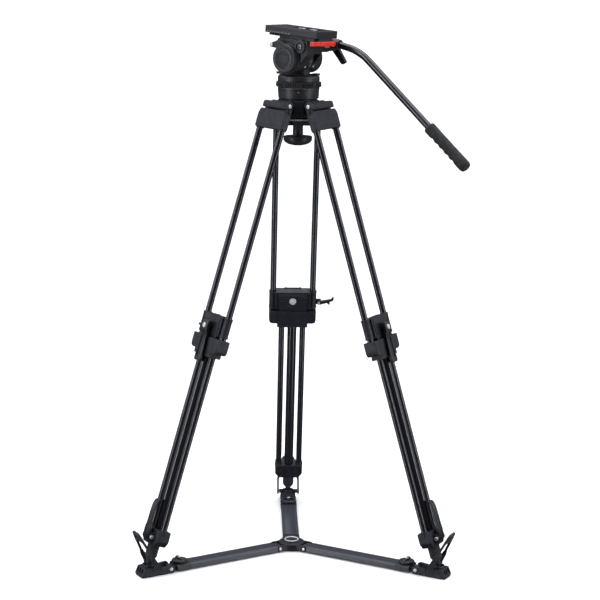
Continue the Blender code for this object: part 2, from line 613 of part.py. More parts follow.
def build_tilt_group(tilt):
    top = BLOCK_TOP + 0.001
    cheeks = [(-0.0320, 0.0030), (-0.0345, 0.0330), (-0.0310, top), (0.0500, top)]
    cheeks += [(0.0500, 0.0120), (0.0220, -0.0225), (0.0, -0.0050)]
    platform = box(-0.0328, 0.0620, -0.0330, 0.0330, BLOCK_TOP, PLATFORM_TOP, 0.0006)
    solids = [
        rod((0, DRUM_LEFT, 0), (0, DRUM_RIGHT, 0), DRUM_RADIUS, 28),
        slab(cheeks, "y", -0.0400, 0.0380),
        platform,
        rod((ROSETTE.x, -0.0450, ROSETTE.z), (ROSETTE.x, 0.0460, ROSETTE.z), 0.0142),
    ]
    top = PLATFORM_TOP + 0.001
    groove = [(-0.0235, top), (-0.0265, 0.0435), (0.0265, 0.0435), (0.0235, top)]
    room = CORE_HALF_WIDTH + GAP
    sweep = DRUM_RADIUS + 0.0008
    shoulder = math.asin(0.0140 / sweep)
    gate = [(-0.0600, 0.0140), (-0.0600, -0.0600), (0.0600, -0.0600), (0.0600, 0.0140)]
    for i in range(21):
        angle = shoulder + (math.pi - 2 * shoulder) * i / 20
        gate.append((sweep * math.cos(angle), sweep * math.sin(angle)))
    cuts = [
        slab(gate, "y", -room, room),
        slab(groove, "x", -0.0400, 0.0700),
        rod((ROSETTE.x, -0.0500, ROSETTE.z), (ROSETTE.x, -0.0425, ROSETTE.z), 0.0090, 14),
    ]
    piece("tilt_body", solids, cuts, (BLACK, 0.5, 0.2), tilt)
    outer = DRUM_LEFT - GAP
    ring = rod((0, outer - 0.0085, 0), (0, outer, 0), 0.0315, 28)
    arm = [(-0.0200, 0.0200), (-0.0345, 0.0205), (-0.0400, 0.0230), (-0.0400, 0.0285)]
    arm += [(-0.0330, 0.0330), (-0.0210, 0.0380), (-0.0150, 0.0370), (0.0050, 0.0310), (0.0180, 0.0235)]
    lever = slab(arm, "y", outer - 0.0070, outer - 0.0010)
    button = rod((-0.0369, outer - 0.0085, 0.0255), (-0.0369, outer - 0.0005, 0.0255), 0.0050, 12)
    dish = rod((0, outer - 0.0100, 0), (0, outer - 0.0070, 0), 0.0225, 20)
    piece("tilt_lock_ring", [ring, lever, button], [dish], (BLACK, 0.5, 0.2), tilt)
    body = box(PLATE_FRONT, PLATE_REAR, -PLATE_HALF_WIDTH, PLATE_HALF_WIDTH, PLATE_LOW, PLATE_TOP, 0.0012)
    rib = [(-0.0231, PLATE_LOW + 0.002), (-0.0231, PLATE_LOW), (-0.0260, 0.0438), (0.0260, 0.0438)]
    rib += [(0.0231, PLATE_LOW), (0.0231, PLATE_LOW + 0.002)]
    slot = box(-0.0150, 0.0550, -0.0100, 0.0100, PLATE_TOP - 0.0030, PLATE_TOP + 0.005)
    dovetail = slab(rib, "x", PLATE_FRONT + 0.002, PLATE_REAR - 0.002)
    piece("camera_plate", [body, dovetail], [slot], (BLACK, 0.5, 0.4), tilt, (0, 0, PLATE_LOW))
    lock = [(0.0662, 0.0308), (0.0634, 0.0270), (0.0630, -0.0300), (0.0640, -0.0480), (0.0670, -0.0520)]
    lock += [(0.0710, -0.0500), (0.0725, -0.0300), (0.0760, -0.0100), (0.0780, 0.0200), (0.0740, 0.0310)]
    low = 0.0340
    lever = slab(lock, "z", low, 0.0433)
    lobe = rod((0.0700, 0.0050, low - 0.0045), (0.0700, 0.0050, low + 0.001), 0.0060, 12)
    piece("plate_lock_lever", [lever, lobe], [], (RED, 0.4, 0.0), tilt, (0.0700, 0.0250, low))


def build_pan_bar(tilt):
    start = Vector((0.0340, BAR_PLANE, 0.0372))
    bend = [(0.0914, 0.0295), (0.1020, 0.0273), (0.1120, 0.0242), (0.1220, 0.0202), (0.1340, 0.0145)]
    knee = Vector((0.1477, BAR_PLANE, 0.0054))
    grip_start = Vector((0.3146, BAR_PLANE, -0.1115))
    grip_end = Vector((0.4176, BAR_PLANE, -0.1836))
    inside = (grip_end - grip_start).normalized()
    path = [start, *[Vector((x, BAR_PLANE, z)) for x, z in bend], knee, grip_start + inside * 0.018]
    pivot = (ROSETTE.x, BAR_PLANE, ROSETTE.z)
    piece("pan_bar", [swept(path, BAR_TUBE_RADIUS)], [], (TUBE_BLACK, 0.35, 0.7), tilt, pivot)
    heading = (path[1] - path[0]).normalized()
    solids = [
        rod((ROSETTE.x, 0.0464, ROSETTE.z), (ROSETTE.x, 0.0540, ROSETTE.z), 0.0142),
        box(0.0210, 0.0470, 0.0500, 0.0715, 0.0180, 0.0450, 0.0020),
        rod(start - heading * 0.012, start + heading * 0.030, 0.0115),
    ]
    socket = rod(start - heading * 0.0004, start + heading * 0.040, BAR_TUBE_RADIUS + GAP)
    piece("bar_clamp", solids, [socket], (BLACK, 0.5, 0.2), tilt, pivot)
    outline = [(0.0240, 0.0360), (0.0400, 0.0370), (0.0440, 0.0280), (0.0700, -0.0040), (0.0600, -0.0110)]
    outline += [(0.0270, 0.0210)]
    lever = slab(outline, "y", 0.0760, 0.0850)
    neck = rod((ROSETTE.x, 0.0720, ROSETTE.z), (ROSETTE.x, 0.0780, ROSETTE.z), 0.0070, 12)
    spot = (ROSETTE.x, 0.0800, ROSETTE.z)
    piece("clamp_lever", [lever, neck], [], (BLACK, 0.5, 0.0), tilt, spot)
    length = (grip_end - grip_start).length
    bore = BAR_TUBE_RADIUS + GAP
    hold = [(bore, 0.0), (GRIP_RADIUS - 0.003, 0.0), (GRIP_RADIUS - 0.0005, 0.0035), (GRIP_RADIUS, 0.0120)]
    hold += [(GRIP_RADIUS, length - 0.0080), (GRIP_RADIUS - 0.0012, length - 0.0060)]
    hold += [(GRIP_RADIUS - 0.0012, length - 0.0035), (GRIP_RADIUS - 0.0045, length), (0.0, length)]
    hold += [(0.0, 0.0186), (bore, 0.0186)]
    grip = turned(hold, 16, along(grip_start, grip_end))
    piece("pan_bar_grip", [grip], [], (RUBBER, 0.85, 0.0), tilt, pivot)


def main():
    clear_scene()
    build_crown()
    build_tie_down()
    for side, azimuth in LEGS.items():
        frame = leg_frame(azimuth)
        build_upper_section(side, frame)
        build_mid_section(side, frame)
        build_lower_section(side, frame)
        build_spreader_arm(side, azimuth)
        build_pad(side, azimuth)
    build_hook(leg_frame(LEGS["back"]))
    build_hub()
    pan = Matrix.Rotation(PAN_REST, 4, "Z")
    tilt = pan @ Matrix.Translation((0, 0, TILT_HEIGHT)) @ Matrix.Rotation(TILT_REST, 4, "Y")
    build_pan_group(pan)
    build_tilt_group(tilt)
    build_pan_bar(tilt)


main()
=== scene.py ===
"""Looks for the tripod with a fluid head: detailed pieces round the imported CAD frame.

Everything is in metres in the CAD's own frame. Leg frames have X across the leg, Y out of its
flat face and Z up along it. Spreader frames have X radial, Y tangential and Z up. The tilt frame's
X points to the operator and its Y to the pan bar's side.
"""

import json
import math

import bmesh
import bpy
from mathutils import Matrix, Vector

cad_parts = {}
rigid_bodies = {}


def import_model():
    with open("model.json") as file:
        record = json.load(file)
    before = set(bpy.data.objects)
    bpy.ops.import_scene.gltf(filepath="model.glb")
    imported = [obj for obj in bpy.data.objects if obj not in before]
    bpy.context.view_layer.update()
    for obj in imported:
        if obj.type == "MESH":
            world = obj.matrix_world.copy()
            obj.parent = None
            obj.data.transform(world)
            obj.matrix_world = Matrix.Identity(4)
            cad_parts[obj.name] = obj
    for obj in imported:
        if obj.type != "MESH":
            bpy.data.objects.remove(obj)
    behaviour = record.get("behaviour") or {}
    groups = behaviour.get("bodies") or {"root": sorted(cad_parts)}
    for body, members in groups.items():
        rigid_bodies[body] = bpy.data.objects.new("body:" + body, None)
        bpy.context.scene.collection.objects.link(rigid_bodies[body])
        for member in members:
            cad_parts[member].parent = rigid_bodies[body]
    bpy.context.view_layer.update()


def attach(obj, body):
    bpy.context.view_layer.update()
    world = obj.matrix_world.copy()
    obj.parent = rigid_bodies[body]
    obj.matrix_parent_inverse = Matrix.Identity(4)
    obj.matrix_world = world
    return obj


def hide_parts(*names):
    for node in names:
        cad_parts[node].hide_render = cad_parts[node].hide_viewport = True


for old in list(bpy.data.objects):
    bpy.data.objects.remove(old, do_unlink=True)
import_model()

# ---------------------------------------------------------------- driving dimensions
LEGS = {"back": 90.0, "left": 210.0, "right": 330.0}
LEG_SLOPE = math.radians(17.57)
LEG_REF_RADIUS = 0.1982
LEG_REF_HEIGHT = 0.5641
GAP = 0.0003

PIN_RADIUS_FROM_AXIS = 0.0434
PIN_HEIGHT = 1.02
CROWN_RADIUS = 0.046
CROWN_TOP = 1.0315
CROWN_BOTTOM = 0.9935
BOWL_CENTRE = 1.03
BOWL_RADIUS = 0.0375
BALL_RADIUS = 0.0369
LUG_HALF_WIDTH = 0.0262
LIP_HALF_WIDTH = 0.0424
LIP_BOTTOM = 1.0158
LIP_INNER = 0.052
LIP_OUTER = 0.0668
EAR_POCKET_END = 0.0565

TUBE_X = 0.0465
TUBE_RADIUS = 0.007
TUBE_TOP = 0.44
TUBE_END = -0.076
BLOCK_HALF_WIDTH = 0.0555
BRACKET_BOTTOM = 0.426
BRACKET_TOP = 0.468
BRACKET_SHOULDER = 0.458
EAR_INNER = 0.0267
EAR_OUTER = 0.0345
PIN_Y = -0.00996
PIN_Z = 0.48136
MID_X = 0.025
MID_RADIUS = 0.0069
MID_TOP = -0.012
SLIDER_HALF_WIDTH = 0.042
SLIDER_HALF_DEPTH = 0.013
SLIDER_TOP = 0.003
SLIDER_BOTTOM = -0.0413
END_TOP = -0.0467
END_BOTTOM = -0.0793
SKIRT_BOTTOM = -0.0897
CLAMP_BACK = -0.0145
CLAMP_FRONT = 0.0155
LOCK_TOP = -0.484
LOCK_BOTTOM = -0.52
LOCK_HALF_WIDTH = 0.0335
LOCK_SHOULDER = -0.508
LOWER_RADIUS = 0.0108
LOWER_TOP = -0.06
BOOT_RADIUS = 0.0135
FOOT_PIVOT = -0.562
FOOT_TIP_RADIUS = 0.006
UPPER_PIVOT = -0.025
NUT_HEIGHT = -0.0195
LOWER_PIVOT = Vector((0.0, 0.0205, -0.503))
CHEEK_INNER = 0.0125
CHEEK_OUTER = 0.0165

CHANNEL_HALF_WIDTH = 0.019
CHANNEL_LOW = 0.004
CHANNEL_HIGH = 0.0155
CHANNEL_WALL = 0.0022
CHANNEL_START = 0.048
CHANNEL_END = 0.306
COLLAR_START = 0.272
BAR_START = 0.065
BAR_END = 0.3215
PAD_PIN_RADIUS = 0.322
PAD_PIN_HEIGHT = 0.0105
PAD_START = 0.3265
PAD_END = 0.3925
KNOB_AT = 0.292
STRAP_AT = 0.36
STRAP_HEIGHT = 0.024
STRAP_LEAN = math.radians(27.2)
FOOT_AT = LEG_REF_RADIUS - FOOT_PIVOT * math.sin(LEG_SLOPE)
HUB_RADIUS = 0.03
HUB_TOP = 0.017

PAN_REST = math.radians(-39.7)
TILT_REST = math.radians(4.2)
TILT_HEIGHT = 1.1225
BASE_LOW = 1.0345
BASE_HIGH = 1.0597
TURNTABLE_LOW = 1.0715
TURNTABLE_TOP = 1.0865
DRUM_RADIUS = 0.0335
DRUM_LEFT = -0.0455
DRUM_RIGHT = 0.0415
CORE_HALF_WIDTH = 0.0105
BLOCK_TOP = 0.0405
PLATFORM_TOP = 0.0492
PLATE_LOW = 0.0496
PLATE_TOP = 0.065
PLATE_HALF_WIDTH = 0.0385
PLATE_FRONT = -0.07
PLATE_REAR = 0.071
ROSETTE = Vector((0.033, 0.0, 0.029))
BAR_PLANE = 0.0605
BAR_TUBE_RADIUS = 0.0078
GRIP_RADIUS = 0.01325
TIE_TUBE_RADIUS = 0.0113
PAN_LOCK_PIVOT = (-0.028, -0.023)
PLATE_LOCK_PIVOT = (0.07, 0.025)
LOCK_BUTTON_X = -0.0369
LOCK_BUTTON_Z = 0.0255

LAMP_TINT = (0.92, 0.94, 1.0)

FINE = 64
ROUND = 40
SMALL = 24
X_AXIS = Vector((1.0, 0.0, 0.0))
Y_AXIS = Vector((0.0, 1.0, 0.0))
Z_AXIS = Vector((0.0, 0.0, 1.0))
Z_TO_MINUS_Y = Matrix.Rotation(math.radians(90), 4, "X")

# ---------------------------------------------------------------- shape helpers


def linked(name, mesh):
    """A new object of the mesh, in the scene."""
    made = bpy.data.objects.new(name, mesh)
    bpy.context.scene.collection.objects.link(made)
    return made


def evaluated(shape):
    """A new mesh of the shape with its modifiers applied."""
    bpy.context.view_layer.update()
    graph = bpy.context.evaluated_depsgraph_get()
    return bpy.data.meshes.new_from_object(shape.evaluated_get(graph))


def without(shape, tool):
    """The shape less the tool, as a new solid; both are used up."""
    change = shape.modifiers.new("less", "BOOLEAN")
    change.operation = "DIFFERENCE"
    change.object = tool
    mesh = evaluated(shape)
    for used in (shape, tool):
        bpy.data.objects.remove(used, do_unlink=True)
    return linked("loose", mesh)


def loose(points, faces, soft=0.0, segments=2):
    """A temporary closed solid, its sharp edges rounded by soft metres."""
    mesh = bpy.data.meshes.new("loose")
    mesh.from_pydata([tuple(p) for p in points], [], faces)
    work = bmesh.new()
    work.from_mesh(mesh)
    bmesh.ops.recalc_face_normals(work, faces=work.faces)
    if soft:
        sharp = [e for e in work.edges if e.is_manifold and e.calc_face_angle(0) > math.radians(38)]
        bmesh.ops.bevel(
            work, geom=sharp, offset=soft, segments=segments, profile=0.5, affect="EDGES", clamp_overlap=True
        )
    work.to_mesh(mesh)
    work.free()
    return linked("loose", mesh)


def rounded(outline, radius, steps=4):
    """The outline with each corner turned into a curve that starts about radius before it."""
    result = []
    count = len(outline)
    for i, corner in enumerate(outline):
        here = Vector(corner)
        back = Vector(outline[i - 1]) - here
        ahead = Vector(outline[(i + 1) % count]) - here
        start = here + back.normalized() * min(radius, 0.45 * back.length)
        end = here + ahead.normalized() * min(radius, 0.45 * ahead.length)
        for k in range(steps + 1):
            t = k / steps
            result.append(tuple(start * (1 - t) ** 2 + here * 2 * t * (1 - t) + end * t * t))
    return result


def slab(outline, across, low, high, soft=0.0, segments=2):
    """A polygon pulled straight along one axis; the outline holds the other two coordinates."""
    order = {"x": (2, 0, 1), "y": (0, 2, 1), "z": (0, 1, 2)}[across]
    points = []
    for level in (low, high):
        for first, second in outline:
            raw = (first, second, level)
            points.append((raw[order[0]], raw[order[1]], raw[order[2]]))
    count = len(outline)
    faces = [tuple(range(count)), tuple(range(count, 2 * count))]
    for i in range(count):
        j = (i + 1) % count
        faces.append((i, j, count + j, count + i))
    return loose(points, faces, soft, segments)


def box(x0, x1, y0, y1, z0, z1, soft=0.0):
    return slab([(x0, y0), (x1, y0), (x1, y1), (x0, y1)], "z", z0, z1, soft)


def turned(profile, steps=ROUND, place=None, waves=None):
    """A profile of (radius, height) pairs turned round Z; waves(angle, height) scales a radius."""
    points = []
    rows = []
    for radius, height in profile:
        if radius < 1e-9:
            rows.append([len(points)])
            points.append(Vector((0.0, 0.0, height)))
            continue
        rows.append(list(range(len(points), len(points) + steps)))
        for i in range(steps):
            angle = 2 * math.pi * i / steps
            far = radius * (waves(angle, height) if waves else 1.0)
            points.append(Vector((far * math.cos(angle), far * math.sin(angle), height)))
    faces = []
    pairs = list(zip(rows, rows[1:]))
    if profile[0][0] > 1e-9 and profile[-1][0] > 1e-9:
        pairs.append((rows[-1], rows[0]))
    for low, high in pairs:
        for i in range(steps):
            j = (i + 1) % steps
            ring = [low[i % len(low)], low[j % len(low)], high[j % len(high)], high[i % len(high)]]
            faces.append(tuple(dict.fromkeys(ring)))
    if place is not None:
        points = [place @ p for p in points]
    return loose(points, faces)


def softened_profile(profile, radius, steps=3):
    """A turned profile with its corners rounded; its two ends stay where they are."""
    curved = rounded(profile, radius, steps)
    inner = curved[steps + 1 : -(steps + 1)]
    return [profile[0], *inner, profile[-1]]


def along(start, end):
    """A frame at start whose Z axis runs to end."""
    start = Vector(start)
    turn = (Vector(end) - start).to_track_quat("Z", "Y").to_matrix().to_4x4()
    return Matrix.Translation(start) @ turn


def rod(start, end, radius, steps=ROUND, chamfer=0.0):
    length = (Vector(end) - Vector(start)).length
    profile = [(0, 0), (radius - chamfer, 0), (radius, chamfer), (radius, length - chamfer)]
    profile += [(radius - chamfer, length), (0, length)]
    if not chamfer:
        profile = [(0, 0), (radius, 0), (radius, length), (0, length)]
    return turned(profile, steps, along(start, end))


def lofted(stations, points=28, power=5.0):
    """A bar with rounded-box sections: each station is (centre, half side vector, half up vector)."""
    made = []
    for centre, side, upward in stations:
        for k in range(points):
            angle = 2 * math.pi * k / points
            across = math.copysign(abs(math.cos(angle)) ** (2 / power), math.cos(angle))
            height = math.copysign(abs(math.sin(angle)) ** (2 / power), math.sin(angle))
            made.append(Vector(centre) + Vector(side) * across + Vector(upward) * height)
    last = (len(stations) - 1) * points
    faces = [tuple(range(points)), tuple(range(last, last + points))]
    for i in range(len(stations) - 1):
        for k in range(points):
            j = (k + 1) % points
            low = i * points
            faces.append((low + k, low + j, low + points + j, low + points + k))
    return loose(made, faces)


def smooth_path(path, between=6):
    """A Catmull-Rom curve through the points, for a bend with no corners."""
    path = [Vector(p) for p in path]
    result = []
    for i in range(len(path) - 1):
        a, b = path[max(i - 1, 0)], path[i]
        c, d = path[i + 1], path[min(i + 2, len(path) - 1)]
        for k in range(between):
            t = k / between
            straight = 2 * b + (c - a) * t
            bent = (2 * a - 5 * b + 4 * c - d) * t**2
            result.append(0.5 * (straight + bent + (3 * b - a - 3 * c + d) * t**3))
    return [*result, path[-1]]


def swept(path, radius, side=Y_AXIS, steps=ROUND, shape=None):
    """A round bar along a flat path; side is square to it. shape(share, angle) scales the radius."""
    points = []
    for i, spot in enumerate(path):
        heading = (path[min(i + 1, len(path) - 1)] - path[max(i - 1, 0)]).normalized()
        upward = side.cross(heading).normalized()
        for k in range(steps):
            angle = 2 * math.pi * k / steps
            far = radius * (shape(i / (len(path) - 1), angle) if shape else 1.0)
            points.append(spot + side * far * math.cos(angle) + upward * far * math.sin(angle))
    last = (len(path) - 1) * steps
    faces = [tuple(range(steps)), tuple(range(last, last + steps))]
    for i in range(len(path) - 1):
        for k in range(steps):
            j = (k + 1) % steps
            low = i * steps
            faces.append((low + k, low + j, low + steps + j, low + steps + k))
    return loose(points, faces)


def moved(shapes, place):
    for shape in shapes:
        shape.data.transform(place)
    return shapes


def mirrored(low, high):
    """The two ranges of a pair of equal features either side of a middle plane."""
    return ((low, high), (-high, -low))


def ring_of(count, radius):
    """Points evenly spaced on a circle."""
    turn = 2 * math.pi / count
    return [(radius * math.cos(i * turn), radius * math.sin(i * turn)) for i in range(count)]


def socket_screw(centre, axis, radius, height, socket=0.5):
    """A cap screw's head with a hexagon socket, standing on centre along axis."""
    centre, axis = Vector(centre), Vector(axis).normalized()
    rim = min(0.28 * radius, 0.4 * height)
    profile = [(0, 0), (radius, 0), (radius, height - rim), (radius - 0.35 * rim, height - 0.3 * rim)]
    profile += [(radius - rim, height), (0, height)]
    head = turned(profile, SMALL, along(centre, centre + axis))
    hole = rod(centre + axis * height * 0.35, centre + axis * height * 1.5, radius * socket, 6)
    return without(head, hole)


def combined(shapes):
    """Separate solids kept as they are in one mesh, for a set of equal fasteners."""
    work = bmesh.new()
    for shape in shapes:
        work.from_mesh(shape.data)
        bpy.data.objects.remove(shape, do_unlink=True)
    mesh = bpy.data.meshes.new("loose")
    work.to_mesh(mesh)
    work.free()
    return linked("loose", mesh)


def piece(name, solids, cuts, look, body, place=None, stands_for=(), crease=32.0):
    """One visible piece: solids joined, cuts taken away, put in place and tied to its body."""
    base = solids[0]
    for operation, others in (("UNION", solids[1:]), ("DIFFERENCE", cuts)):
        for other in others:
            change = base.modifiers.new(operation, "BOOLEAN")
            change.operation = operation
            change.solver = "EXACT"
            change.object = other
    mesh = evaluated(base)
    for shape in [*solids, *cuts]:
        bpy.data.objects.remove(shape, do_unlink=True)
    mesh.name = name
    if place is not None:
        mesh.transform(place)
    mesh.materials.clear()
    mesh.materials.append(look)
    mesh.shade_smooth()
    mesh.set_sharp_from_angle(angle=math.radians(crease))
    made = linked(name, mesh)
    weigh = made.modifiers.new("Weighted normals", "WEIGHTED_NORMAL")
    weigh.keep_sharp = True
    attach(made, body)
    if stands_for:
        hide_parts(*stands_for)
    return made


def fittings(name, shapes, look, body, place):
    """A set of small pieces in one mesh, which stands for no CAD node."""
    piece(name, [combined(shapes)], [], look, body, place, ())


def leg_frame(azimuth):
    """A leg's frame, with its origin at the leg's reference point."""
    around = math.radians(azimuth)
    radial = Vector((math.cos(around), math.sin(around), 0.0))
    tangent = Vector((-math.sin(around), math.cos(around), 0.0))
    along_leg = Z_AXIS * math.cos(LEG_SLOPE) - radial * math.sin(LEG_SLOPE)
    outward = radial * math.cos(LEG_SLOPE) + Z_AXIS * math.sin(LEG_SLOPE)
    rows = Matrix((-tangent, outward, along_leg)).transposed().to_4x4()
    return Matrix.Translation(radial * LEG_REF_RADIUS + Z_AXIS * LEG_REF_HEIGHT) @ rows


def radial_frame(azimuth):
    """The spreader frame of the leg at this azimuth."""
    return Matrix.Rotation(math.radians(azimuth), 4, "Z")


PAN = Matrix.Rotation(PAN_REST, 4, "Z")
TILT = PAN @ Matrix.Translation((0, 0, TILT_HEIGHT)) @ Matrix.Rotation(TILT_REST, 4, "Y")

# ---------------------------------------------------------------- materials


class Surface:
    """A Principled material built from noise in object space."""

    def __init__(self, name):
        self.material = bpy.data.materials.new(name)
        self.material.use_nodes = True
        self.nodes = self.material.node_tree.nodes
        self.links = self.material.node_tree.links
        self.shader = self.nodes["Principled BSDF"]
        self.spot = self.nodes.new("ShaderNodeTexCoord").outputs["Object"]

    def turned_to(self, matrix):
        """Turns the texture space so that its Z axis is the frame's Z axis."""
        turn = self.nodes.new("ShaderNodeMapping")
        turn.inputs["Rotation"].default_value = matrix.to_3x3().inverted().to_euler("XYZ")
        self.links.new(self.spot, turn.inputs["Vector"])
        self.spot = turn.outputs["Vector"]
        return self

    def noise(self, scale, detail=2.0, stretch=(1.0, 1.0, 1.0)):
        mapping = self.nodes.new("ShaderNodeMapping")
        mapping.inputs["Scale"].default_value = stretch
        self.links.new(self.spot, mapping.inputs["Vector"])
        made = self.nodes.new("ShaderNodeTexNoise")
        made.inputs["Scale"].default_value = scale
        made.inputs["Detail"].default_value = detail
        self.links.new(mapping.outputs["Vector"], made.inputs["Vector"])
        return made.outputs["Fac"]

    def spread(self, value, low, high, least=0.3, most=0.7):
        """Maps a value from least..most to low..high."""
        made = self.nodes.new("ShaderNodeMapRange")
        made.inputs["From Min"].default_value = least
        made.inputs["From Max"].default_value = most
        made.inputs["To Min"].default_value = low
        made.inputs["To Max"].default_value = high
        self.links.new(value, made.inputs["Value"])
        return made.outputs["Result"]

    def mixed(self, share, first, second):
        """Between two colours; either may be a socket."""
        made = self.nodes.new("ShaderNodeMix")
        made.data_type = "RGBA"
        self.links.new(share, made.inputs["Factor"])
        for name, colour in (("A", first), ("B", second)):
            target = [i for i in made.inputs if i.name == name and i.type == "RGBA"][0]
            if isinstance(colour, tuple):
                target.default_value = (*colour, 1.0)
            else:
                self.links.new(colour, target)
        return [o for o in made.outputs if o.type == "RGBA"][0]

    def coloured(self, dark, light, scale, stretch=(1.0, 1.0, 1.0)):
        colour = self.mixed(self.spread(self.noise(scale, 3.0, stretch), 0.0, 1.0), dark, light)
        self.colour = colour
        self.links.new(colour, self.shader.inputs["Base Color"])
        return self

    def worn(self, tint, start=0.53, end=0.6, most=0.6):
        """Paler along its raised edges."""
        edge = self.nodes.new("ShaderNodeNewGeometry").outputs["Pointiness"]
        broken = self.spread(self.noise(420.0, 3.0), 0.25, 1.0)
        share = self.spread(edge, 0.0, most, start, end)
        times = self.nodes.new("ShaderNodeMath")
        times.operation = "MULTIPLY"
        times.use_clamp = True
        self.links.new(share, times.inputs[0])
        self.links.new(broken, times.inputs[1])
        colour = self.mixed(times.outputs["Value"], self.colour, tint)
        self.links.new(colour, self.shader.inputs["Base Color"])
        return self

    def rough(self, low, high, scale, stretch=(1.0, 1.0, 1.0)):
        self.links.new(
            self.spread(self.noise(scale, 3.0, stretch), low, high), self.shader.inputs["Roughness"]
        )
        return self

    def bumped(self, scale, depth, strength=0.6, stretch=(1.0, 1.0, 1.0), detail=2.0):
        bump = self.nodes.new("ShaderNodeBump")
        bump.inputs["Strength"].default_value = strength
        bump.inputs["Distance"].default_value = depth
        self.links.new(self.noise(scale, detail, stretch), bump.inputs["Height"])
        self.links.new(bump.outputs["Normal"], self.shader.inputs["Normal"])
        return self

    def fixed(self, **values):
        for name, value in values.items():
            self.shader.inputs[name.replace("_", " ")].default_value = value
        return self


def casting_look():
    """Fine-textured black paint on cast metal and glass-filled plastic."""
    made = Surface("textured black").coloured((0.005, 0.0053, 0.009), (0.01, 0.0106, 0.0165), 55.0)
    made.worn((0.05, 0.05, 0.058))
    made.rough(0.46, 0.62, 90.0).bumped(2600.0, 0.00006, 0.45)
    return made.fixed(Specular_IOR_Level=0.34).material


def plastic_look():
    """Moulded black plastic of the knobs and levers."""
    made = Surface("moulded black").coloured((0.0055, 0.0055, 0.007), (0.0105, 0.0105, 0.013), 70.0)
    made.worn((0.04, 0.04, 0.042), most=0.4)
    made.rough(0.34, 0.48, 120.0).bumped(3400.0, 0.00005, 0.45)
    return made.fixed(Specular_IOR_Level=0.4).material


def head_look():
    """Satin black paint of the fluid head's machined body."""
    made = Surface("satin black").coloured((0.0055, 0.0055, 0.007), (0.011, 0.011, 0.0135), 60.0)
    made.worn((0.055, 0.055, 0.058), most=0.45)
    made.rough(0.36, 0.5, 100.0).bumped(3000.0, 0.00006, 0.5)
    return made.fixed(Specular_IOR_Level=0.45).material


def tube_look(name, matrix):
    """Black anodised tube, with fine drawing lines along it."""
    made = Surface(name).turned_to(matrix)
    made.coloured((0.0035, 0.0035, 0.0055), (0.0075, 0.0075, 0.011), 500.0, (1.0, 1.0, 0.012))
    made.rough(0.15, 0.24, 900.0, (1.0, 1.0, 0.01))
    made.bumped(2400.0, 0.000015, 0.35, (1.0, 1.0, 0.006))
    return made.fixed(Specular_IOR_Level=0.55).material


def slate_look(name, matrix):
    """Blue-grey anodised spreader arm, brushed along its length."""
    made = Surface(name).turned_to(matrix)
    made.coloured((0.022, 0.024, 0.031), (0.036, 0.039, 0.049), 420.0, (1.0, 1.0, 0.015))
    made.worn((0.14, 0.145, 0.16), most=0.5)
    made.rough(0.32, 0.46, 700.0, (1.0, 1.0, 0.012))
    made.bumped(2200.0, 0.00002, 0.35, (1.0, 1.0, 0.008))
    return made.fixed(Metallic=0.2).material


def rubber_look():
    """Dull black rubber with a pitted surface and a little dust."""
    made = Surface("black rubber").coloured((0.009, 0.009, 0.011), (0.02, 0.02, 0.0235), 75.0)
    made.rough(0.62, 0.86, 160.0).bumped(1500.0, 0.00016, 0.7, detail=4.0)
    return made.fixed(Specular_IOR_Level=0.32, Sheen_Weight=0.06, Sheen_Roughness=0.4).material


def plate_look():
    """Hard-anodised plate, brushed along the tilt frame's X axis."""
    turn = TILT @ Matrix.Rotation(math.radians(90), 4, "Y")
    made = Surface("anodised plate").turned_to(turn)
    made.coloured((0.008, 0.0084, 0.0115), (0.015, 0.0156, 0.02), 380.0, (1.0, 1.0, 0.02))
    made.worn((0.1, 0.1, 0.105), most=0.5)
    made.rough(0.34, 0.5, 600.0, (1.0, 1.0, 0.015)).bumped(2600.0, 0.00002, 0.35, (1.0, 1.0, 0.01))
    return made.fixed(Metallic=0.3).material


def steel_look():
    """Bright zinc-plated screws, faintly turned and stained."""
    made = Surface("bright steel").coloured((0.52, 0.52, 0.53), (0.78, 0.78, 0.8), 240.0)
    made.rough(0.24, 0.4, 500.0).bumped(3200.0, 0.00002, 0.4)
    return made.fixed(Metallic=0.35).material


def dark_steel_look():
    """Blackened steel of the rosette's screw."""
    made = Surface("dark steel").coloured((0.1, 0.1, 0.11), (0.2, 0.2, 0.21), 300.0)
    made.rough(0.28, 0.42, 500.0).bumped(3200.0, 0.00002, 0.4)
    return made.fixed(Metallic=1.0).material


def red_look():
    """Red moulded lever with a soft gloss."""
    made = Surface("red plastic").coloured((0.6, 0.018, 0.01), (0.78, 0.035, 0.018), 90.0)
    made.worn((0.9, 0.16, 0.1), most=0.5)
    made.rough(0.28, 0.42, 140.0).bumped(2600.0, 0.00004, 0.4)
    return made.fixed(Specular_IOR_Level=0.5, Coat_Weight=0.15, Coat_Roughness=0.3).material


def paint_look():
    """Pale printed ink of the index marks and scales."""
    made = Surface("pale ink").coloured((0.46, 0.46, 0.47), (0.66, 0.66, 0.67), 900.0)
    return made.rough(0.45, 0.6, 700.0).bumped(3000.0, 0.00002, 0.3).material


def vial_look():
    """Green spirit in the bubble level."""
    made = Surface("level spirit").coloured((0.32, 0.52, 0.06), (0.42, 0.64, 0.1), 300.0)
    made.rough(0.05, 0.12, 200.0).bumped(300.0, 0.00002, 0.2)
    return made.fixed(Coat_Weight=0.6, Coat_Roughness=0.05).material


def floor_look():
    """Plain pale studio floor."""
    made = Surface("pale floor").coloured((0.86, 0.86, 0.86), (0.9, 0.9, 0.9), 1.5)
    return made.rough(0.65, 0.8, 6.0).bumped(60.0, 0.0002, 0.1).material


CASTING = casting_look()
PLASTIC = plastic_look()
HEAD = head_look()
RUBBER = rubber_look()
PLATE = plate_look()
STEEL = steel_look()
DARK_STEEL = dark_steel_look()
RED = red_look()
INK = paint_look()
VIAL = vial_look()

# ---------------------------------------------------------------- crown and tie-down


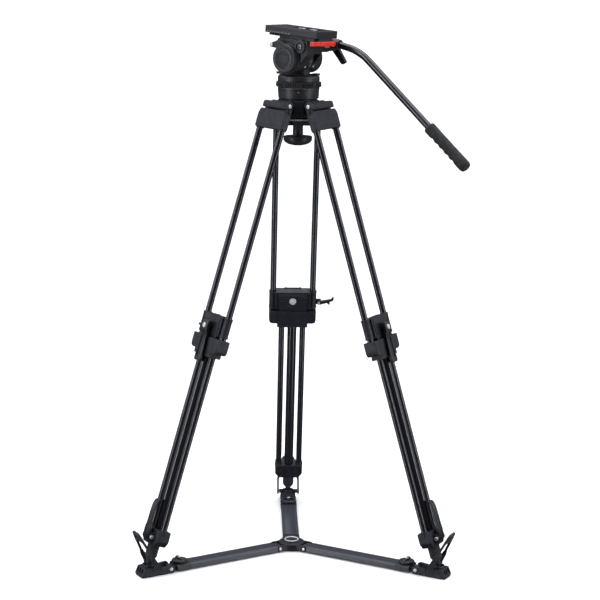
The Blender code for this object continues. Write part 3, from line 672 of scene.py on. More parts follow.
def build_crown():
    wall = [(0.0, CROWN_BOTTOM), (0.034, CROWN_BOTTOM), (CROWN_RADIUS, 1.006)]
    wall += [(CROWN_RADIUS, CROWN_TOP - 0.0014), (CROWN_RADIUS - 0.0014, CROWN_TOP), (0.0, CROWN_TOP)]
    solids = [turned(softened_profile(wall, 0.0015), FINE)]
    for azimuth in LEGS.values():
        lip = [(LIP_INNER, LIP_BOTTOM - 0.002), (LIP_OUTER, LIP_BOTTOM), (LIP_OUTER - 0.0012, 1.022)]
        lip += [(LIP_OUTER - 0.004, 1.0296), (LIP_INNER, 1.0298)]
        arm = box(
            0.034, LIP_INNER + 0.004, -LUG_HALF_WIDTH, LUG_HALF_WIDTH, LIP_BOTTOM + 0.0006, 1.0299, 0.001
        )
        cover = slab(rounded(lip, 0.003), "y", -LIP_HALF_WIDTH, LIP_HALF_WIDTH, 0.0012, 3)
        edge = LUG_HALF_WIDTH - 0.0004
        pin = (PIN_RADIUS_FROM_AXIS, -edge, PIN_HEIGHT)
        lug = rod(pin, (PIN_RADIUS_FROM_AXIS, edge, PIN_HEIGHT), 0.01, ROUND, 0.0008)
        web = box(0.033, PIN_RADIUS_FROM_AXIS, -0.024, 0.024, 1.0104, 1.02, 0.0008)
        solids += moved([arm, cover, lug, web], radial_frame(azimuth))
    bowl = [(0.0, BOWL_CENTRE - BOWL_RADIUS)]
    for i in range(1, 17):
        angle = math.pi / 2 * i / 16
        bowl.append((BOWL_RADIUS * math.sin(angle), BOWL_CENTRE - BOWL_RADIUS * math.cos(angle)))
    bowl += [(BOWL_RADIUS, 1.06), (0.0, 1.06)]
    cuts = [turned(bowl, FINE), rod((0, 0, 0.96), (0, 0, 1.02), 0.014)]
    for azimuth in LEGS.values():
        for low, high in mirrored(LUG_HALF_WIDTH + 0.0001, 0.0352):
            cuts += moved([box(0.0318, EAR_POCKET_END, low, high, 0.99, 1.04)], radial_frame(azimuth))
    piece("crown_casting", solids, cuts, CASTING, "crown", None, ["crown"])
    screws = []
    for azimuth in LEGS.values():
        for y in (-0.033, 0.033):
            screw = socket_screw((LIP_OUTER - 0.0012, y, 1.0195), X_AXIS, 0.0018, 0.0011)
            screws += moved([screw], radial_frame(azimuth))
    fittings("crown_cover_screws", screws, PLASTIC, "crown", None)


def build_tie_down():
    ball = [(0.0, BOWL_CENTRE - BALL_RADIUS)]
    for i in range(1, 15):
        angle = math.pi / 2 * i / 14
        ball.append((BALL_RADIUS * math.sin(angle), BOWL_CENTRE - BALL_RADIUS * math.cos(angle)))
    ball += [(BALL_RADIUS, BASE_LOW - GAP), (0.0, BASE_LOW - GAP)]
    stud = rod((0, 0, 0.958), (0, 0, 1.01), 0.0058, SMALL, 0.0006)
    solids = [turned(ball, FINE), stud]
    piece("bowl_ball", solids, [], HEAD, "head_base", None, ["half_ball"])
    flange = [(0.0088, 0.9868), (0.029, 0.9868), (0.03, 0.9876), (0.03, 0.9902), (0.0292, 0.9908)]
    flange += [(0.012, 0.9908), (0.0088, 0.99)]
    solids = [turned(flange, FINE)]
    piece("clamp_flange", solids, [], STEEL, "bowl_clamp", None, ["tie_down_flange"])
    profile = [(0.0, 0.931), (0.012, 0.9315), (0.0215, 0.9338), (0.0285, 0.938), (0.0317, 0.9428)]
    profile += [(0.0317, 0.95), (0.0305, 0.9518), (0.0255, 0.9512), (0.017, 0.9502), (0.0125, 0.9512)]
    profile += [(TIE_TUBE_RADIUS, 0.954), (TIE_TUBE_RADIUS, 0.985), (TIE_TUBE_RADIUS - 0.0008, 0.9858)]
    profile += [(0.0063, 0.9858), (0.0063, 0.956), (0.0, 0.956)]

    def lobes(angle, height):
        """Three broad finger hollows in the rim, fading towards the middle."""
        depth = 0.075 * max(0.0, math.cos(3 * angle + math.pi / 2)) ** 1.5
        return 1.0 - depth if height < 0.9516 else 1.0

    solids = [turned(softened_profile(profile, 0.0012), FINE, None, lobes)]
    flutes = []
    for x, y in ring_of(12, TIE_TUBE_RADIUS + 0.0006):
        flutes.append(rod((x, y, 0.964), (x, y, 0.98), 0.0011, 12))
    piece("tie_down_knob", solids, flutes, PLASTIC, "tie_down", None, ["tie_down_handle"])


# ---------------------------------------------------------------- legs


def build_bracket(side, place):
    wide = BLOCK_HALF_WIDTH
    outline = [(-wide, BRACKET_BOTTOM), (wide, BRACKET_BOTTOM), (wide, BRACKET_SHOULDER)]
    outline += [(0.049, BRACKET_TOP), (-0.049, BRACKET_TOP), (-wide, BRACKET_SHOULDER)]
    solids = [slab(rounded(outline, 0.0035), "y", -0.0075, 0.0095, 0.0012, 3)]
    cuts = []
    for x in (-TUBE_X, TUBE_X):
        sleeve = [(0.0, 0.424), (0.0086, 0.424), (0.0092, 0.4248), (0.0092, 0.456), (0.008, 0.46)]
        sleeve += [(0.0045, 0.4625), (0.0, 0.463)]
        solids.append(turned(sleeve, ROUND, Matrix.Translation((x, 0, 0))))
        cuts.append(rod((x, 0, 0.416), (x, 0, TUBE_TOP + 0.0005), TUBE_RADIUS + GAP))
    for low, high in mirrored(EAR_INNER, EAR_OUTER):
        ear = [(PIN_Y - 0.0095, 0.456), (0.005, 0.456), (0.003, 0.464), (-0.0008, 0.47)]
        ear += [(PIN_Y + 0.0095, 0.487), (PIN_Y + 0.005, PIN_Z + 0.0095), (PIN_Y, PIN_Z + 0.011)]
        ear += [(PIN_Y - 0.005, PIN_Z + 0.0095), (PIN_Y - 0.0095, 0.487)]
        solids.append(slab(rounded(ear, 0.003), "x", low, high, 0.0007))
    for low, high in mirrored(0.0425, 0.054):
        solids.append(box(low, high, -0.0062, -0.003, 0.456, 0.4738, 0.0005))
    cuts.append(box(-0.0385, 0.0385, 0.0088, 0.012, 0.431, 0.433, 0.0003))
    cuts.append(box(-0.023, 0.023, -0.01, -0.006, 0.433, 0.462, 0.0008))
    name = f"top_bracket_{side}"
    piece(name, solids, cuts, CASTING, f"upper_{side}", place, [f"leg_bracket_{side}"])
    heads = []
    for sign in (-1, 1):
        heads.append(socket_screw((sign * EAR_OUTER, PIN_Y, PIN_Z), X_AXIS * sign, 0.0044, 0.0026, 0.5))
    fittings(f"hinge_screws_{side}", heads, STEEL, f"upper_{side}", place)
    grubs = [socket_screw((x, -0.0088, 0.433), -Y_AXIS, 0.0017, 0.001) for x in (-TUBE_X, TUBE_X)]
    fittings(f"tube_screws_{side}", grubs, STEEL, f"upper_{side}", place)


def build_upper_tubes(side, place, look):
    for tag, x in (("a", -TUBE_X), ("b", TUBE_X)):
        solids = [rod((x, 0, TUBE_END), (x, 0, TUBE_TOP), TUBE_RADIUS, ROUND, 0.0005)]
        bore = [rod((x, 0, TUBE_END - 0.01), (x, 0, TUBE_END + 0.03), TUBE_RADIUS - 0.0013)]
        node = f"upper_tube_{side}_{tag}"
        piece(f"tube_{side}_{tag}", solids, bore, look, f"upper_{side}", place, [node])


def build_end_clamp(side, place):
    wide = BLOCK_HALF_WIDTH
    block = [(-wide, END_TOP), (-wide, END_BOTTOM), (wide, END_BOTTOM), (wide, END_TOP)]
    lower = [p for p in rounded(block, 0.011, 6) if p[1] < END_TOP - 0.012]
    shaped = [*lower, (wide, END_TOP), (-wide, END_TOP)]
    solids = [slab(shaped, "y", CLAMP_BACK, CLAMP_FRONT, 0.0016, 3)]
    solids.append(box(-0.036, 0.036, -0.014, 0.0145, SKIRT_BOTTOM, END_BOTTOM + 0.002, 0.0012))
    cuts = [box(-0.0329, 0.0329, -0.0112, 0.0112, SKIRT_BOTTOM - 0.01, END_TOP + 0.01)]
    for x in (-TUBE_X, TUBE_X):
        cuts.append(rod((x, 0, TUBE_END - 0.0005), (x, 0, END_TOP + 0.01), TUBE_RADIUS + GAP))
    for face in (CLAMP_BACK, CLAMP_FRONT):
        cuts.append(box(-0.024, 0.024, face - 0.0008, face + 0.0008, -0.077, -0.06, 0.0004))
        cuts.append(box(-0.0365, -0.0355, face - 0.0006, face + 0.0006, -0.0765, -0.048))
        cuts.append(box(0.0355, 0.0365, face - 0.0006, face + 0.0006, -0.0765, -0.048))
    name = f"end_casting_{side}"
    piece(name, solids, cuts, CASTING, f"upper_{side}", place, [f"end_clamp_{side}"])
    screws = []
    for sign, face in ((-1, CLAMP_BACK), (1, CLAMP_FRONT)):
        for x in (-TUBE_X, TUBE_X):
            screws.append(socket_screw((x, face - sign * 0.0004, -0.056), Y_AXIS * sign, 0.002, 0.0009))
    fittings(f"end_screws_{side}", screws, PLASTIC, f"upper_{side}", place)


def build_slider(side, place):
    wide = SLIDER_HALF_WIDTH
    deep = SLIDER_HALF_DEPTH
    outline = [(-wide, SLIDER_BOTTOM), (wide, SLIDER_BOTTOM), (wide, SLIDER_TOP), (0.033, 0.0036)]
    outline += [(-0.033, 0.0036), (-wide, SLIDER_TOP)]
    solids = [slab(rounded(outline, 0.002), "y", -deep, deep, 0.0012, 3)]
    solids.append(box(-0.019, 0.019, deep - 0.005, deep - 0.001, 0.003, 0.005, 0.0006))
    for low, high in mirrored(0.0165, 0.0195):
        solids.append(box(low, high, deep - 0.006, deep - 0.0006, 0.003, 0.0064, 0.0006))
    solids.append(rod((0, 0.012, UPPER_PIVOT), (0, 0.0162, UPPER_PIVOT), 0.0085, ROUND, 0.0006))
    foot = END_TOP + 0.0002
    solids.append(box(-0.0314, 0.0314, -0.0106, 0.0106, foot, SLIDER_BOTTOM + 0.002, 0.0005))
    cuts = []
    for x in (-TUBE_X, TUBE_X):
        sleeve = [(0.0, SLIDER_BOTTOM), (0.0098, SLIDER_BOTTOM), (0.0098, SLIDER_BOTTOM + 0.004)]
        sleeve += [(0.0092, SLIDER_BOTTOM + 0.0048), (0.0092, SLIDER_TOP - 0.0048)]
        sleeve += [(0.0098, SLIDER_TOP - 0.004), (0.0098, SLIDER_TOP), (0.0, SLIDER_TOP)]
        solids.append(turned(softened_profile(sleeve, 0.0006), ROUND, Matrix.Translation((x, 0, 0))))
        cuts.append(rod((x, 0, SLIDER_BOTTOM - 0.01), (x, 0, SLIDER_TOP + 0.01), TUBE_RADIUS + 0.0004))
        sink = math.copysign(0.01, x)
        cuts.append(box(x - sink - 0.0008, x - sink + 0.0008, -deep - 0.001, -deep + 0.0012, -0.04, 0.001))
        cuts.append(box(x - sink - 0.0008, x - sink + 0.0008, deep - 0.0012, deep + 0.001, -0.04, 0.001))
    for z in (NUT_HEIGHT + 0.0032, NUT_HEIGHT - 0.0038):
        for low, high in mirrored(0.0165, 0.033):
            groove = rounded(
                [(low, z - 0.001), (high, z - 0.001), (high, z + 0.001), (low, z + 0.001)], 0.001
            )
            cuts.append(slab(groove, "y", -deep - 0.002, -deep + 0.0014))
    line = NUT_HEIGHT + 0.009
    band = rounded([(-0.027, line), (0.027, line), (0.027, line + 0.0012), (-0.027, line + 0.0012)], 0.0006)
    cuts.append(slab(band, "y", -deep - 0.002, -deep + 0.0009))
    arch = [(-0.0345, -0.04), (-0.0345, -0.002), (-0.032, 0.001), (0.032, 0.001), (0.0345, -0.002)]
    arch += [(0.0345, -0.04), (0.0335, -0.04), (0.0335, -0.0024), (0.0315, 0.0), (-0.0315, 0.0)]
    arch += [(-0.0335, -0.0024), (-0.0335, -0.04)]
    cuts.append(slab(arch, "y", -deep - 0.002, -deep + 0.0008))
    cuts.append(slab(arch, "y", deep - 0.0008, deep + 0.002))
    for low, high in mirrored(0.0165, 0.032):
        cuts.append(box(low, high, deep - 0.0016, deep + 0.002, -0.0385, -0.012, 0.0008))
    if side == "back":
        solids.append(box(0.048, 0.067, 0.0036, 0.008, -0.036, -0.022, 0.0008))
    if side == "left":
        solids.append(rod((0.054, 0, -0.029), (0.068, 0, -0.029), 0.003, SMALL, 0.0006))
    name = f"slide_casting_{side}"
    piece(name, solids, cuts, CASTING, f"mid_{side}", place, [f"mid_slider_{side}"])
    hexagon = [(x, z + NUT_HEIGHT) for x, z in ring_of(6, 0.008)]
    nut = slab(rounded(hexagon, 0.0012, 3), "y", -deep - 0.0036, -deep + 0.0004, 0.0005)
    washer = rod((0, -deep + 0.0004, NUT_HEIGHT), (0, -deep - 0.001, NUT_HEIGHT), 0.0082, ROUND, 0.0003)
    end = rod((0, -deep, NUT_HEIGHT), (0, -deep - 0.0046, NUT_HEIGHT), 0.0036, SMALL, 0.0008)
    solids = [nut, washer, end]
    dimple = [rod((0, -deep - 0.0038, NUT_HEIGHT), (0, -deep - 0.006, NUT_HEIGHT), 0.0017, 16)]
    piece(f"slide_nut_{side}", solids, dimple, STEEL, f"mid_{side}", place, ())


def build_mid_frame(side, place, look):
    wide = LOCK_HALF_WIDTH
    block = [(-wide, LOCK_TOP), (-wide, LOCK_SHOULDER), (-0.024, LOCK_BOTTOM), (0.024, LOCK_BOTTOM)]
    block += [(wide, LOCK_SHOULDER), (wide, LOCK_TOP)]
    solids = [slab(rounded(block, 0.0028), "y", -0.015, CLAMP_FRONT, 0.0014, 3)]
    for x in (-MID_X, MID_X):
        collar = [(0.0, LOCK_TOP - 0.01), (0.0094, LOCK_TOP - 0.01), (0.0094, LOCK_TOP + 0.0016)]
        collar += [(0.0086, LOCK_TOP + 0.0026), (0.0, LOCK_TOP + 0.0026)]
        solids.append(turned(softened_profile(collar, 0.0006), ROUND, Matrix.Translation((x, 0, 0))))
    for low, high in mirrored(CHEEK_INNER, CHEEK_OUTER):
        cheek = [(0.014, -0.5125), (0.024, -0.5105), (0.0268, -0.503), (0.024, -0.4955), (0.014, -0.4915)]
        solids.append(slab(rounded(cheek, 0.003), "x", low, high, 0.0005))
    bore = rod((0, 0, LOCK_BOTTOM - 0.01), (0, 0, LOCK_TOP + 0.01), LOWER_RADIUS + GAP)
    edge = Vector((CHEEK_INNER - 0.0001, 0, 0))
    cuts = [bore, rod(LOWER_PIVOT - edge, LOWER_PIVOT + edge, 0.0093)]
    cuts.append(box(-0.01, 0.01, -0.016, -0.0138, -0.515, -0.489, 0.0005))
    for x in (-MID_X, MID_X):
        cuts.append(rod((x, 0, -0.5), (x, 0, LOCK_TOP + 0.01), MID_RADIUS + 0.0001))
        cuts.append(box(x - 0.005, x + 0.005, CLAMP_FRONT - 0.001, 0.02, -0.506, -0.489, 0.0006))
    name = f"lock_casting_{side}"
    piece(name, solids, cuts, CASTING, f"mid_{side}", place, [f"mid_frame_{side}"])
    for tag, x in (("a", -MID_X), ("b", MID_X)):
        tube = [rod((x, 0, -0.499), (x, 0, MID_TOP), MID_RADIUS, ROUND, 0.0004)]
        piece(f"mid_tube_{side}_{tag}", tube, [], look, f"mid_{side}", place, ())
    screws = []
    for x in (-0.0175, 0.0175):
        for z in (-0.495, -0.509):
            screws.append(socket_screw((x, -0.0148, z), -Y_AXIS, 0.003, 0.006))
    fittings(f"lock_screws_{side}", screws, PLASTIC, f"mid_{side}", place)
    pins = []
    for sign in (-1, 1):
        start = LOWER_PIVOT + X_AXIS * sign * (CHEEK_OUTER - 0.0002)
        pins.append(socket_screw(start, X_AXIS * sign, 0.0046, 0.0026, 0.45))
    fittings(f"lock_pins_{side}", pins, STEEL, f"mid_{side}", place)


def build_upper_lever(side, place):
    shape = [(-0.0122, 0.01, 0.0168, 0.0262), (-0.014, 0.013, 0.0168, 0.0284)]
    shape += [(-0.025, 0.0138, 0.0168, 0.0292), (-0.035, 0.0138, 0.0168, 0.0288)]
    shape += [(-0.039, 0.0132, 0.0168, 0.0262), (-0.045, 0.0122, 0.0168, 0.024)]
    shape += [(-0.056, 0.0115, 0.0168, 0.0232), (-0.072, 0.0124, 0.017, 0.0232)]
    shape += [(-0.086, 0.0134, 0.0172, 0.0236), (-0.096, 0.0138, 0.0176, 0.0242)]
    shape += [(-0.101, 0.0126, 0.0182, 0.0244), (-0.1038, 0.01, 0.019, 0.024)]
    stations = []
    for z, half, inner, outer in shape:
        stations.append(((0, (inner + outer) / 2, z), X_AXIS * half, Y_AXIS * (outer - inner) / 2))
    hollow = [(-0.006, -0.048), (0.006, -0.048), (0.008, -0.094), (-0.008, -0.094)]
    cuts = [slab(rounded(hollow, 0.003), "y", 0.0214, 0.03)]
    cuts.append(rod((0, 0.0272, UPPER_PIVOT), (0, 0.034, UPPER_PIVOT), 0.0078))
    solids = [lofted(stations, 32, 5.0)]
    for z in (-0.056, -0.066, -0.076, -0.086):
        solids.append(box(-0.007, 0.007, 0.0205, 0.0226, z - 0.0012, z + 0.0012, 0.0004))
    name = f"slide_lever_{side}"
    body = f"upper_lever_{side}"
    piece(name, solids, cuts, PLASTIC, body, place, [f"upper_lever_{side}"])
    bolt = [socket_screw((0, 0.027, UPPER_PIVOT), Y_AXIS, 0.0058, 0.0024, 0.5)]
    piece(f"slide_lever_bolt_{side}", bolt, [], STEEL, body, place, ())


def build_lower_lever(side, place):
    path = [(0.0208, -0.5105), (0.0222, -0.504), (0.024, -0.495), (0.0254, -0.484), (0.026, -0.47)]
    path += [(0.026, -0.455), (0.0256, -0.442), (0.0246, -0.431), (0.0224, -0.4238), (0.0192, -0.421)]
    path += [(0.0168, -0.4206)]
    thick = [0.004, 0.0046, 0.0044, 0.0034, 0.003, 0.0029, 0.0028, 0.0026, 0.0023, 0.002, 0.0014]
    stations = []
    for i, (y, z) in enumerate(path):
        ahead = path[min(i + 1, len(path) - 1)]
        behind = path[max(i - 1, 0)]
        heading = Vector((0, ahead[0] - behind[0], ahead[1] - behind[1])).normalized()
        outward = heading.cross(X_AXIS).normalized()
        if outward.y < 0:
            outward = -outward
        half = 0.012 if z < -0.49 else 0.012 - 0.0038 * min(1.0, (z + 0.49) / 0.02)
        stations.append(((0, y, z), X_AXIS * half, outward * thick[i]))
    cuts = []
    for z in (-0.476, -0.466, -0.456, -0.446):
        cuts.append(rod((-0.0055, 0.0296, z), (0.0055, 0.0296, z), 0.0013, 12))
    solids = [lofted(stations, 32, 6.0)]
    name = f"lock_lever_{side}"
    body = f"lower_lever_{side}"
    piece(name, solids, cuts, PLASTIC, body, place, [f"lower_lever_{side}"])


def build_lower_leg(side, place, look):
    tube = [rod((0, 0, LOCK_BOTTOM - 0.012), (0, 0, LOWER_TOP), LOWER_RADIUS, FINE, 0.0005)]
    body = f"lower_{side}"
    piece(f"lower_tube_{side}", tube, [], look, body, place, [f"lower_leg_{side}"])
    tip = FOOT_PIVOT - FOOT_TIP_RADIUS
    top = LOCK_BOTTOM - 0.0005
    boot = [(0.0, tip), (0.003, tip + 0.0006), (0.0052, tip + 0.003), (0.006, tip + 0.006)]
    boot += [(0.0068, -0.556), (0.0092, -0.5525), (0.0128, -0.547), (BOOT_RADIUS, -0.544)]
    for z in (-0.54, -0.536, -0.532):
        boot += [(BOOT_RADIUS, z), (BOOT_RADIUS - 0.0008, z + 0.0005), (BOOT_RADIUS - 0.0008, z + 0.0011)]
        boot += [(BOOT_RADIUS, z + 0.0016)]
    boot += [(BOOT_RADIUS, top - 0.001), (BOOT_RADIUS - 0.0008, top), (LOWER_RADIUS + 0.0002, top)]
    boot += [(LOWER_RADIUS + 0.0002, LOCK_BOTTOM - 0.013), (0.0, LOCK_BOTTOM - 0.013)]
    piece(f"foot_boot_{side}", [turned(boot, FINE)], [], RUBBER, body, place, ())


def build_hook(place):
    arm = [(0.06, -0.0335), (0.066, -0.0335), (0.09, -0.0255), (0.096, -0.023), (0.0975, -0.015)]
    arm += [(0.0935, -0.0145), (0.0915, -0.0195), (0.087, -0.0205), (0.065, -0.0245), (0.06, -0.0245)]
    arm += [(0.058, -0.0262), (0.0572, -0.029), (0.058, -0.0318)]
    solids = [slab(rounded(arm, 0.0016), "y", -0.003, 0.0032, 0.0008, 3)]
    bump = rounded([(0.08, -0.029), (0.086, -0.0335), (0.0885, -0.0325), (0.087, -0.0255)], 0.0012)
    solids.append(slab(bump, "y", -0.0026, 0.0028, 0.0006))
    groove = rounded([(0.068, -0.029), (0.083, -0.0245), (0.083, -0.0235), (0.068, -0.0265)], 0.0008)
    cuts = [slab(groove, "y", -0.004, -0.0022)]
    piece("carry_hook", solids, cuts, PLASTIC, "hook", place, ["transport_hook"])
    head = [socket_screw((0.062, -0.0028, -0.029), -Y_AXIS, 0.0028, 0.0016)]
    piece("carry_hook_screw", head, [], STEEL, "hook", place, ())


# ---------------------------------------------------------------- spreader


def build_hub():
    rim = [(0.0, 0.0), (HUB_RADIUS - 0.001, 0.0), (HUB_RADIUS, 0.001), (HUB_RADIUS, HUB_TOP - 0.002)]
    rim += [(HUB_RADIUS - 0.002, HUB_TOP), (0.0178, HUB_TOP), (0.0168, 0.0208), (0.014, 0.0208)]
    rim += [(0.0132, 0.0192), (0.0, 0.0188)]
    solids = [turned(softened_profile(rim, 0.001), FINE)]
    for azimuth in LEGS.values():
        for low, high in mirrored(0.015, 0.019):
            ear = [(0.02, 0.002), (0.04, 0.002), (0.046, 0.006), (0.046, 0.013), (0.042, 0.016)]
            ear += [(0.02, 0.016)]
            solids += moved([slab(rounded(ear, 0.0025), "y", low, high, 0.0006)], radial_frame(azimuth))
    piece("hub_casting", solids, [], CASTING, "spreader", None, ["spreader_hub"])
    ring = [(0.0136, 0.0204), (0.0166, 0.0204), (0.0168, 0.021), (0.016, 0.0217), (0.0144, 0.0217)]
    ring += [(0.0136, 0.0211)]
    piece("hub_ring", [turned(ring, FINE)], [], STEEL, "spreader", None, ())
    pins = []
    for azimuth in LEGS.values():
        for sign in (-1, 1):
            pin = socket_screw((0.0415, sign * 0.0188, 0.0092), Y_AXIS * sign, 0.0032, 0.0018)
            pins += moved([pin], radial_frame(azimuth))
    fittings("hub_pins", pins, STEEL, "spreader", None)


def build_channel(side, place, look):
    half = CHANNEL_HALF_WIDTH
    edge = 0.003
    section = [(-half, CHANNEL_LOW), (half, CHANNEL_LOW), (half, CHANNEL_HIGH - edge)]
    section += [(half - edge, CHANNEL_HIGH), (edge - half, CHANNEL_HIGH), (-half, CHANNEL_HIGH - edge)]
    solids = [
        slab(rounded(section, 0.0014), "x", CHANNEL_START, CHANNEL_END, 0.0003),
        box(0.033, CHANNEL_START + 0.006, -0.0146, 0.0146, 0.005, 0.014, 0.0018),
        rod((KNOB_AT, 0, CHANNEL_HIGH - 0.001), (KNOB_AT, 0, CHANNEL_HIGH + 0.0015), 0.01, ROUND, 0.0004),
    ]
    inner = half - CHANNEL_WALL
    floor = CHANNEL_LOW + CHANNEL_WALL
    roof = CHANNEL_HIGH - CHANNEL_WALL
    cuts = [box(BAR_START - 0.004, CHANNEL_END + 0.01, -inner, inner, floor, roof)]
    for y in (-half, half):
        for z in (0.0072, 0.0106):
            cuts.append(
                box(CHANNEL_START + 0.004, CHANNEL_END - 0.012, y - 0.0005, y + 0.0005, z, z + 0.0007)
            )
    for y in (-0.0135, 0.0135):
        start = (CHANNEL_START + 0.004, y, CHANNEL_HIGH + 0.0002)
        cuts.append(rod(start, (CHANNEL_END - 0.012, y, CHANNEL_HIGH + 0.0002), 0.0006, 8))
    name = f"spreader_rail_{side}"
    piece(name, solids, cuts, look, "spreader", place, [f"spreader_channel_{side}"])
    outer = [(-half - 0.0008, CHANNEL_LOW - 0.0008), (half + 0.0008, CHANNEL_LOW - 0.0008)]
    outer += [(half + 0.0008, CHANNEL_HIGH - edge + 0.0004)]
    outer += [(half - edge + 0.0004, CHANNEL_HIGH + 0.0008)]
    outer += [(edge - half - 0.0004, CHANNEL_HIGH + 0.0008)]
    outer += [(-half - 0.0008, CHANNEL_HIGH - edge + 0.0004)]
    collar = slab(rounded(outer, 0.0014), "x", COLLAR_START, CHANNEL_END + 0.0008, 0.0005)
    hollow = slab(section, "x", COLLAR_START - 0.001, CHANNEL_END - 0.0002)
    mouth = box(CHANNEL_END - 0.002, CHANNEL_END + 0.01, -inner, inner, floor, roof)
    knob_room = rod((KNOB_AT, 0, CHANNEL_HIGH - 0.001), (KNOB_AT, 0, 0.03), 0.0184)
    name = f"rail_collar_{side}"
    cuts = [hollow, mouth, knob_room]
    piece(name, [collar], cuts, PLASTIC, "spreader", place, ())


def build_bar(side, place, look):
    half = CHANNEL_HALF_WIDTH - CHANNEL_WALL - GAP
    low = CHANNEL_LOW + CHANNEL_WALL + GAP
    high = CHANNEL_HIGH - CHANNEL_WALL - GAP
    solids = [box(BAR_START, CHANNEL_END - 0.001, -half, half, low, high, 0.0004)]
    solids.append(box(CHANNEL_END - 0.003, BAR_END, -0.0118, 0.0118, low + 0.0002, high - 0.0002, 0.001))
    slot = rounded([(0.08, -0.0035), (0.27, -0.0035), (0.27, 0.0035), (0.08, 0.0035)], 0.0034)
    cuts = [slab(slot, "z", low - 0.01, high + 0.01)]
    node = f"spreader_bar_{side}"
    piece(f"sliding_bar_{side}", solids, cuts, look, f"bar_{side}", place, [node])


def build_knob(side, place):
    base = CHANNEL_HIGH + 0.002
    profile = [(0.0, base), (0.017, base), (0.018, base + 0.001), (0.018, base + 0.0044)]
    profile += [(0.0162, base + 0.006), (0.01, base + 0.0068), (0.0, base + 0.007)]

    def knurl(angle, height):
        return 1.0 - 0.045 * max(0.0, math.cos(9 * angle)) if height > base + 0.0006 else 0.985

    dish = turned(softened_profile(profile, 0.0012), 90, Matrix.Translation((KNOB_AT, 0, 0)), knurl)
    wing = [(-0.0158, base + 0.0034), (0.0158, base + 0.0034), (0.0148, base + 0.0088)]
    wing += [(0.011, base + 0.0116), (0.0062, base + 0.0108), (0.0, base + 0.0102)]
    wing += [(-0.0062, base + 0.0108), (-0.011, base + 0.0116), (-0.0148, base + 0.0088)]
    bow = slab(rounded(wing, 0.0026), "x", KNOB_AT - 0.0034, KNOB_AT + 0.0034, 0.0013, 3)
    post = rod((KNOB_AT, 0, base + 0.004), (KNOB_AT, 0, base + 0.0106), 0.0058, ROUND, 0.0008)
    body = f"knob_{side}"
    solids = [dish, bow, post]
    piece(f"wing_knob_{side}", solids, [], PLASTIC, body, place, [f"spreader_knob_{side}"])
    cap = [socket_screw((KNOB_AT, 0, base + 0.01), Z_AXIS, 0.0036, 0.0015)]
    piece(f"wing_knob_screw_{side}", cap, [], STEEL, body, place, ())


def build_pad(side, place):
    half = CHANNEL_HALF_WIDTH
    wedge = [(PAD_START + 0.018, 0.0022), (PAD_END, 0.0022), (PAD_END, 0.006), (0.386, 0.021)]
    wedge += [(0.35, 0.021), (PAD_START + 0.018, 0.01)]
    cup = [(0.0, 0.016), (0.0155, 0.016), (0.0155, 0.0245), (0.0148, 0.0255), (0.0128, 0.0255)]
    cup += [(0.012, 0.0247), (0.012, 0.0205), (0.0, 0.0205)]
    solids = [
        box(PAD_START, PAD_END - 0.006, -half, half, 0.0022, 0.0062, 0.0008),
        slab(wedge, "y", -half + 0.0005, half - 0.0005, 0.0014, 3),
    ]
    at_foot = Matrix.Translation((FOOT_AT, 0, 0))
    cuts = [rod((FOOT_AT, 0, 0.0205), (FOOT_AT, 0, 0.03), 0.012)]
    solids.append(turned(cup, FINE, at_foot))
    for low, high in mirrored(0.0125, half):
        ear = [(PAD_PIN_RADIUS - 0.009, 0.004), (PAD_PIN_RADIUS - 0.006, 0.001), (0.346, 0.0024)]
        ear += [(0.346, 0.016), (PAD_PIN_RADIUS - 0.004, 0.0185), (PAD_PIN_RADIUS - 0.009, 0.015)]
        solids.append(slab(rounded(ear, 0.003), "y", low, high, 0.0006))
    for low, high in mirrored(0.0155, 0.0185):
        cheek = [(0.348, 0.015), (0.372, 0.015), (0.3665, 0.0285), (0.3535, 0.0285)]
        solids.append(slab(rounded(cheek, 0.003), "y", low, high, 0.0006))
        middle = (low + high) / 2
        outer = math.copysign(0.0225, middle)
        solids.append(
            rod((STRAP_AT, middle, STRAP_HEIGHT), (STRAP_AT, outer, STRAP_HEIGHT), 0.005, SMALL, 0.0005)
        )
    for y in (-0.01, 0.0, 0.01):
        cuts.append(box(0.3795, 0.396, y - 0.0032, y + 0.0032, 0.0085, 0.019, 0.0006))
    body = f"pad_{side}"
    node = f"spreader_pad_{side}"
    piece(f"foot_pad_{side}", solids, cuts, CASTING, body, place, [node])
    sole = [(PAD_START + 0.002, -half + 0.0015), (PAD_END, -half + 0.0015), (PAD_END, half - 0.0015)]
    sole += [(PAD_START + 0.002, half - 0.0015)]
    treads = []
    for i in range(7):
        x = PAD_START + 0.009 + 0.0085 * i
        treads.append(box(x, x + 0.0014, -half - 0.001, half + 0.001, -0.001, 0.0009))
    solids = [slab(rounded(sole, 0.004), "z", 0.0, 0.0025, 0.0004)]
    piece(f"pad_sole_{side}", solids, treads, RUBBER, body, place, ())
    pins = []
    for sign in (-1, 1):
        start = (PAD_PIN_RADIUS, sign * (half - 0.0002), PAD_PIN_HEIGHT)
        pins.append(socket_screw(start, Y_AXIS * sign, 0.0038, 0.0022))
    fittings(f"pad_pins_{side}", pins, STEEL, body, place)


